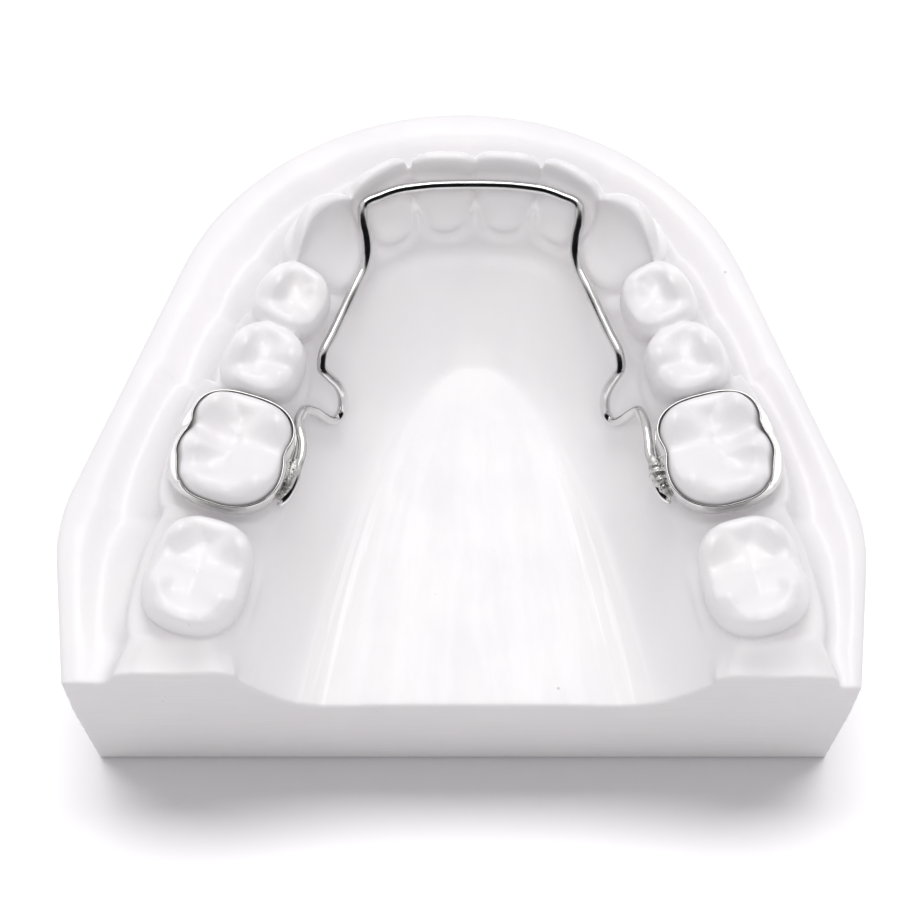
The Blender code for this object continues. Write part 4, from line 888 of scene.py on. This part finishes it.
# 5. What it stands on, and the light: a white sheet that runs out of view, one soft lamp behind the incisors,
# one over the heel for the plaster alone, and a wide one for the sheet alone. The room is darker on the
# heel's side, so what faces it lies in soft shade, and the wire mirrors a dark stretch of it.
SHEET_HALF = 600
SHEET, SHEET_SHADE, SHEET_BOUNCE = (0.935, 0.925, 0.935, 1), (0.915, 0.908, 0.92, 1), (0.62, 0.61, 0.62, 1)
corners = [(x * SHEET_HALF, y * SHEET_HALF, 0) for x, y in ((-1, -1), (1, -1), (1, 1), (-1, 1))]
sheet = mesh_object("white_sheet", corners, [[0, 1, 2, 3]])
white, tree, shader = finish_of("white sheet", Specular_IOR_Level=0.1)
where = millimetres(tree)
tone = blend(tree, placed(tree, clouding, {"Place": where, "Size": 25.0}), SHEET, SHEET_SHADE)
# The sheet gives less light back onto the cast than it shows, so the pale plaster keeps its shade
bounced = add(tree, "ShaderNodeLightPath").outputs["Is Diffuse Ray"]
tree.links.new(blend(tree, bounced, tone, SHEET_BOUNCE), shader.inputs["Base Color"])
fibres = placed(tree, grain, {"Place": where, "Size": 0.5})
tree.links.new(ranged(tree, fibres, 0.0, 1.0, 0.75, 0.9), shader.inputs["Roughness"])
emboss(tree, shader, fibres, 0.3, 0.02)
sheet.data.materials.append(white)

# Each lamp has its place and size in metres, its tilt in degrees, its power in watts and what it lights
for name, place_m, tilt, width, depth, power, lit in (
        ("back_lamp", (0.0, 0.28, 0.50), -29, 0.30, 0.30, 0.84, [cast, wire, *bands, *joints]),
        ("sheet_lamp", (0.0, 0.25, 0.54), -24, 1.05, 0.34, 6.3, [sheet]),
        ("front_lamp", (0.0, -0.18, 0.48), 20, 0.40, 0.40, 0.95, [cast])):
    lamp = bpy.data.lights.new(name, "AREA")
    lamp.shape, lamp.size, lamp.size_y, lamp.energy = "ELLIPSE", width, depth, power
    obj = bpy.data.objects.new(name, lamp)
    obj.location = place_m
    obj.rotation_euler = (math.radians(tilt), 0, 0)
    bpy.context.scene.collection.objects.link(obj)
    receivers = bpy.data.collections.new(f"{name}_receivers")
    for receiver in lit:
        receivers.objects.link(receiver)
    obj.light_linking.receiver_collection = receivers

# The room as the plaster and the sheet see it, brighter ahead and to the sides, and as polish mirrors it
world = bpy.data.worlds.new("studio")
world.use_nodes = True
sky = world.node_tree
ROOM_DIM, ROOM_BRIGHT = (0.42, 0.41, 0.42, 1), (0.93, 0.92, 0.94, 1)
MIRRORED_DARK, MIRRORED_LAMP = (0.01, 0.01, 0.012, 1), (1.2, 1.2, 1.2, 1)
MIRRORED_SHEET = (0.85, 0.85, 0.86, 1)
toward = add(sky, "ShaderNodeSeparateXYZ", {0: add(sky, "ShaderNodeTexCoord").outputs["Generated"]}).outputs
fall = add(sky, "ShaderNodeMapRange", {"Value": toward["Y"], "From Min": -0.55, "From Max": 0.5}).outputs[0]
sideways = times(sky, times(sky, toward["X"], toward["X"]), 0.85)
room = blend(sky, plus(sky, fall, sideways), ROOM_DIM, ROOM_BRIGHT)
mirrored = blend(sky, ranged(sky, toward["Y"], -0.11, 0.10), MIRRORED_DARK, MIRRORED_LAMP)
mirrored = blend(sky, ranged(sky, toward["Z"], 0.10, 0.24), MIRRORED_SHEET, mirrored)
seen = add(sky, "ShaderNodeLightPath").outputs["Is Glossy Ray"]
sky.links.new(blend(sky, seen, room, mirrored), sky.nodes["Background"].inputs["Color"])
sky.nodes["Background"].inputs["Strength"].default_value = 0.65
bpy.context.scene.world = world
bpy.context.scene.view_settings.view_transform = "Standard"

# 6. The camera: high over the heel, as the photograph was taken, with a long lens. Its focal length is given
# in pixels of the photograph's frame, and it looks at a point inside the cast, in metres.
IMAGE_PIXELS, FOCAL_PIXELS, SENSOR_MM = 924, 3955, 36.0
AIM, ELEVATION, DISTANCE = (0.0, -0.00625, 0.015), math.radians(67), 0.350
camera_data = bpy.data.cameras.new("camera")
camera_data.sensor_width = SENSOR_MM
camera_data.lens = FOCAL_PIXELS / IMAGE_PIXELS * SENSOR_MM
camera_data.clip_end = 10.0
camera = bpy.data.objects.new("camera", camera_data)
camera.location = (AIM[0], AIM[1] - DISTANCE * math.cos(ELEVATION), AIM[2] + DISTANCE * math.sin(ELEVATION))
camera.rotation_euler = (math.pi / 2 - ELEVATION, 0, 0)
bpy.context.scene.collection.objects.link(camera)
bpy.context.scene.camera = camera
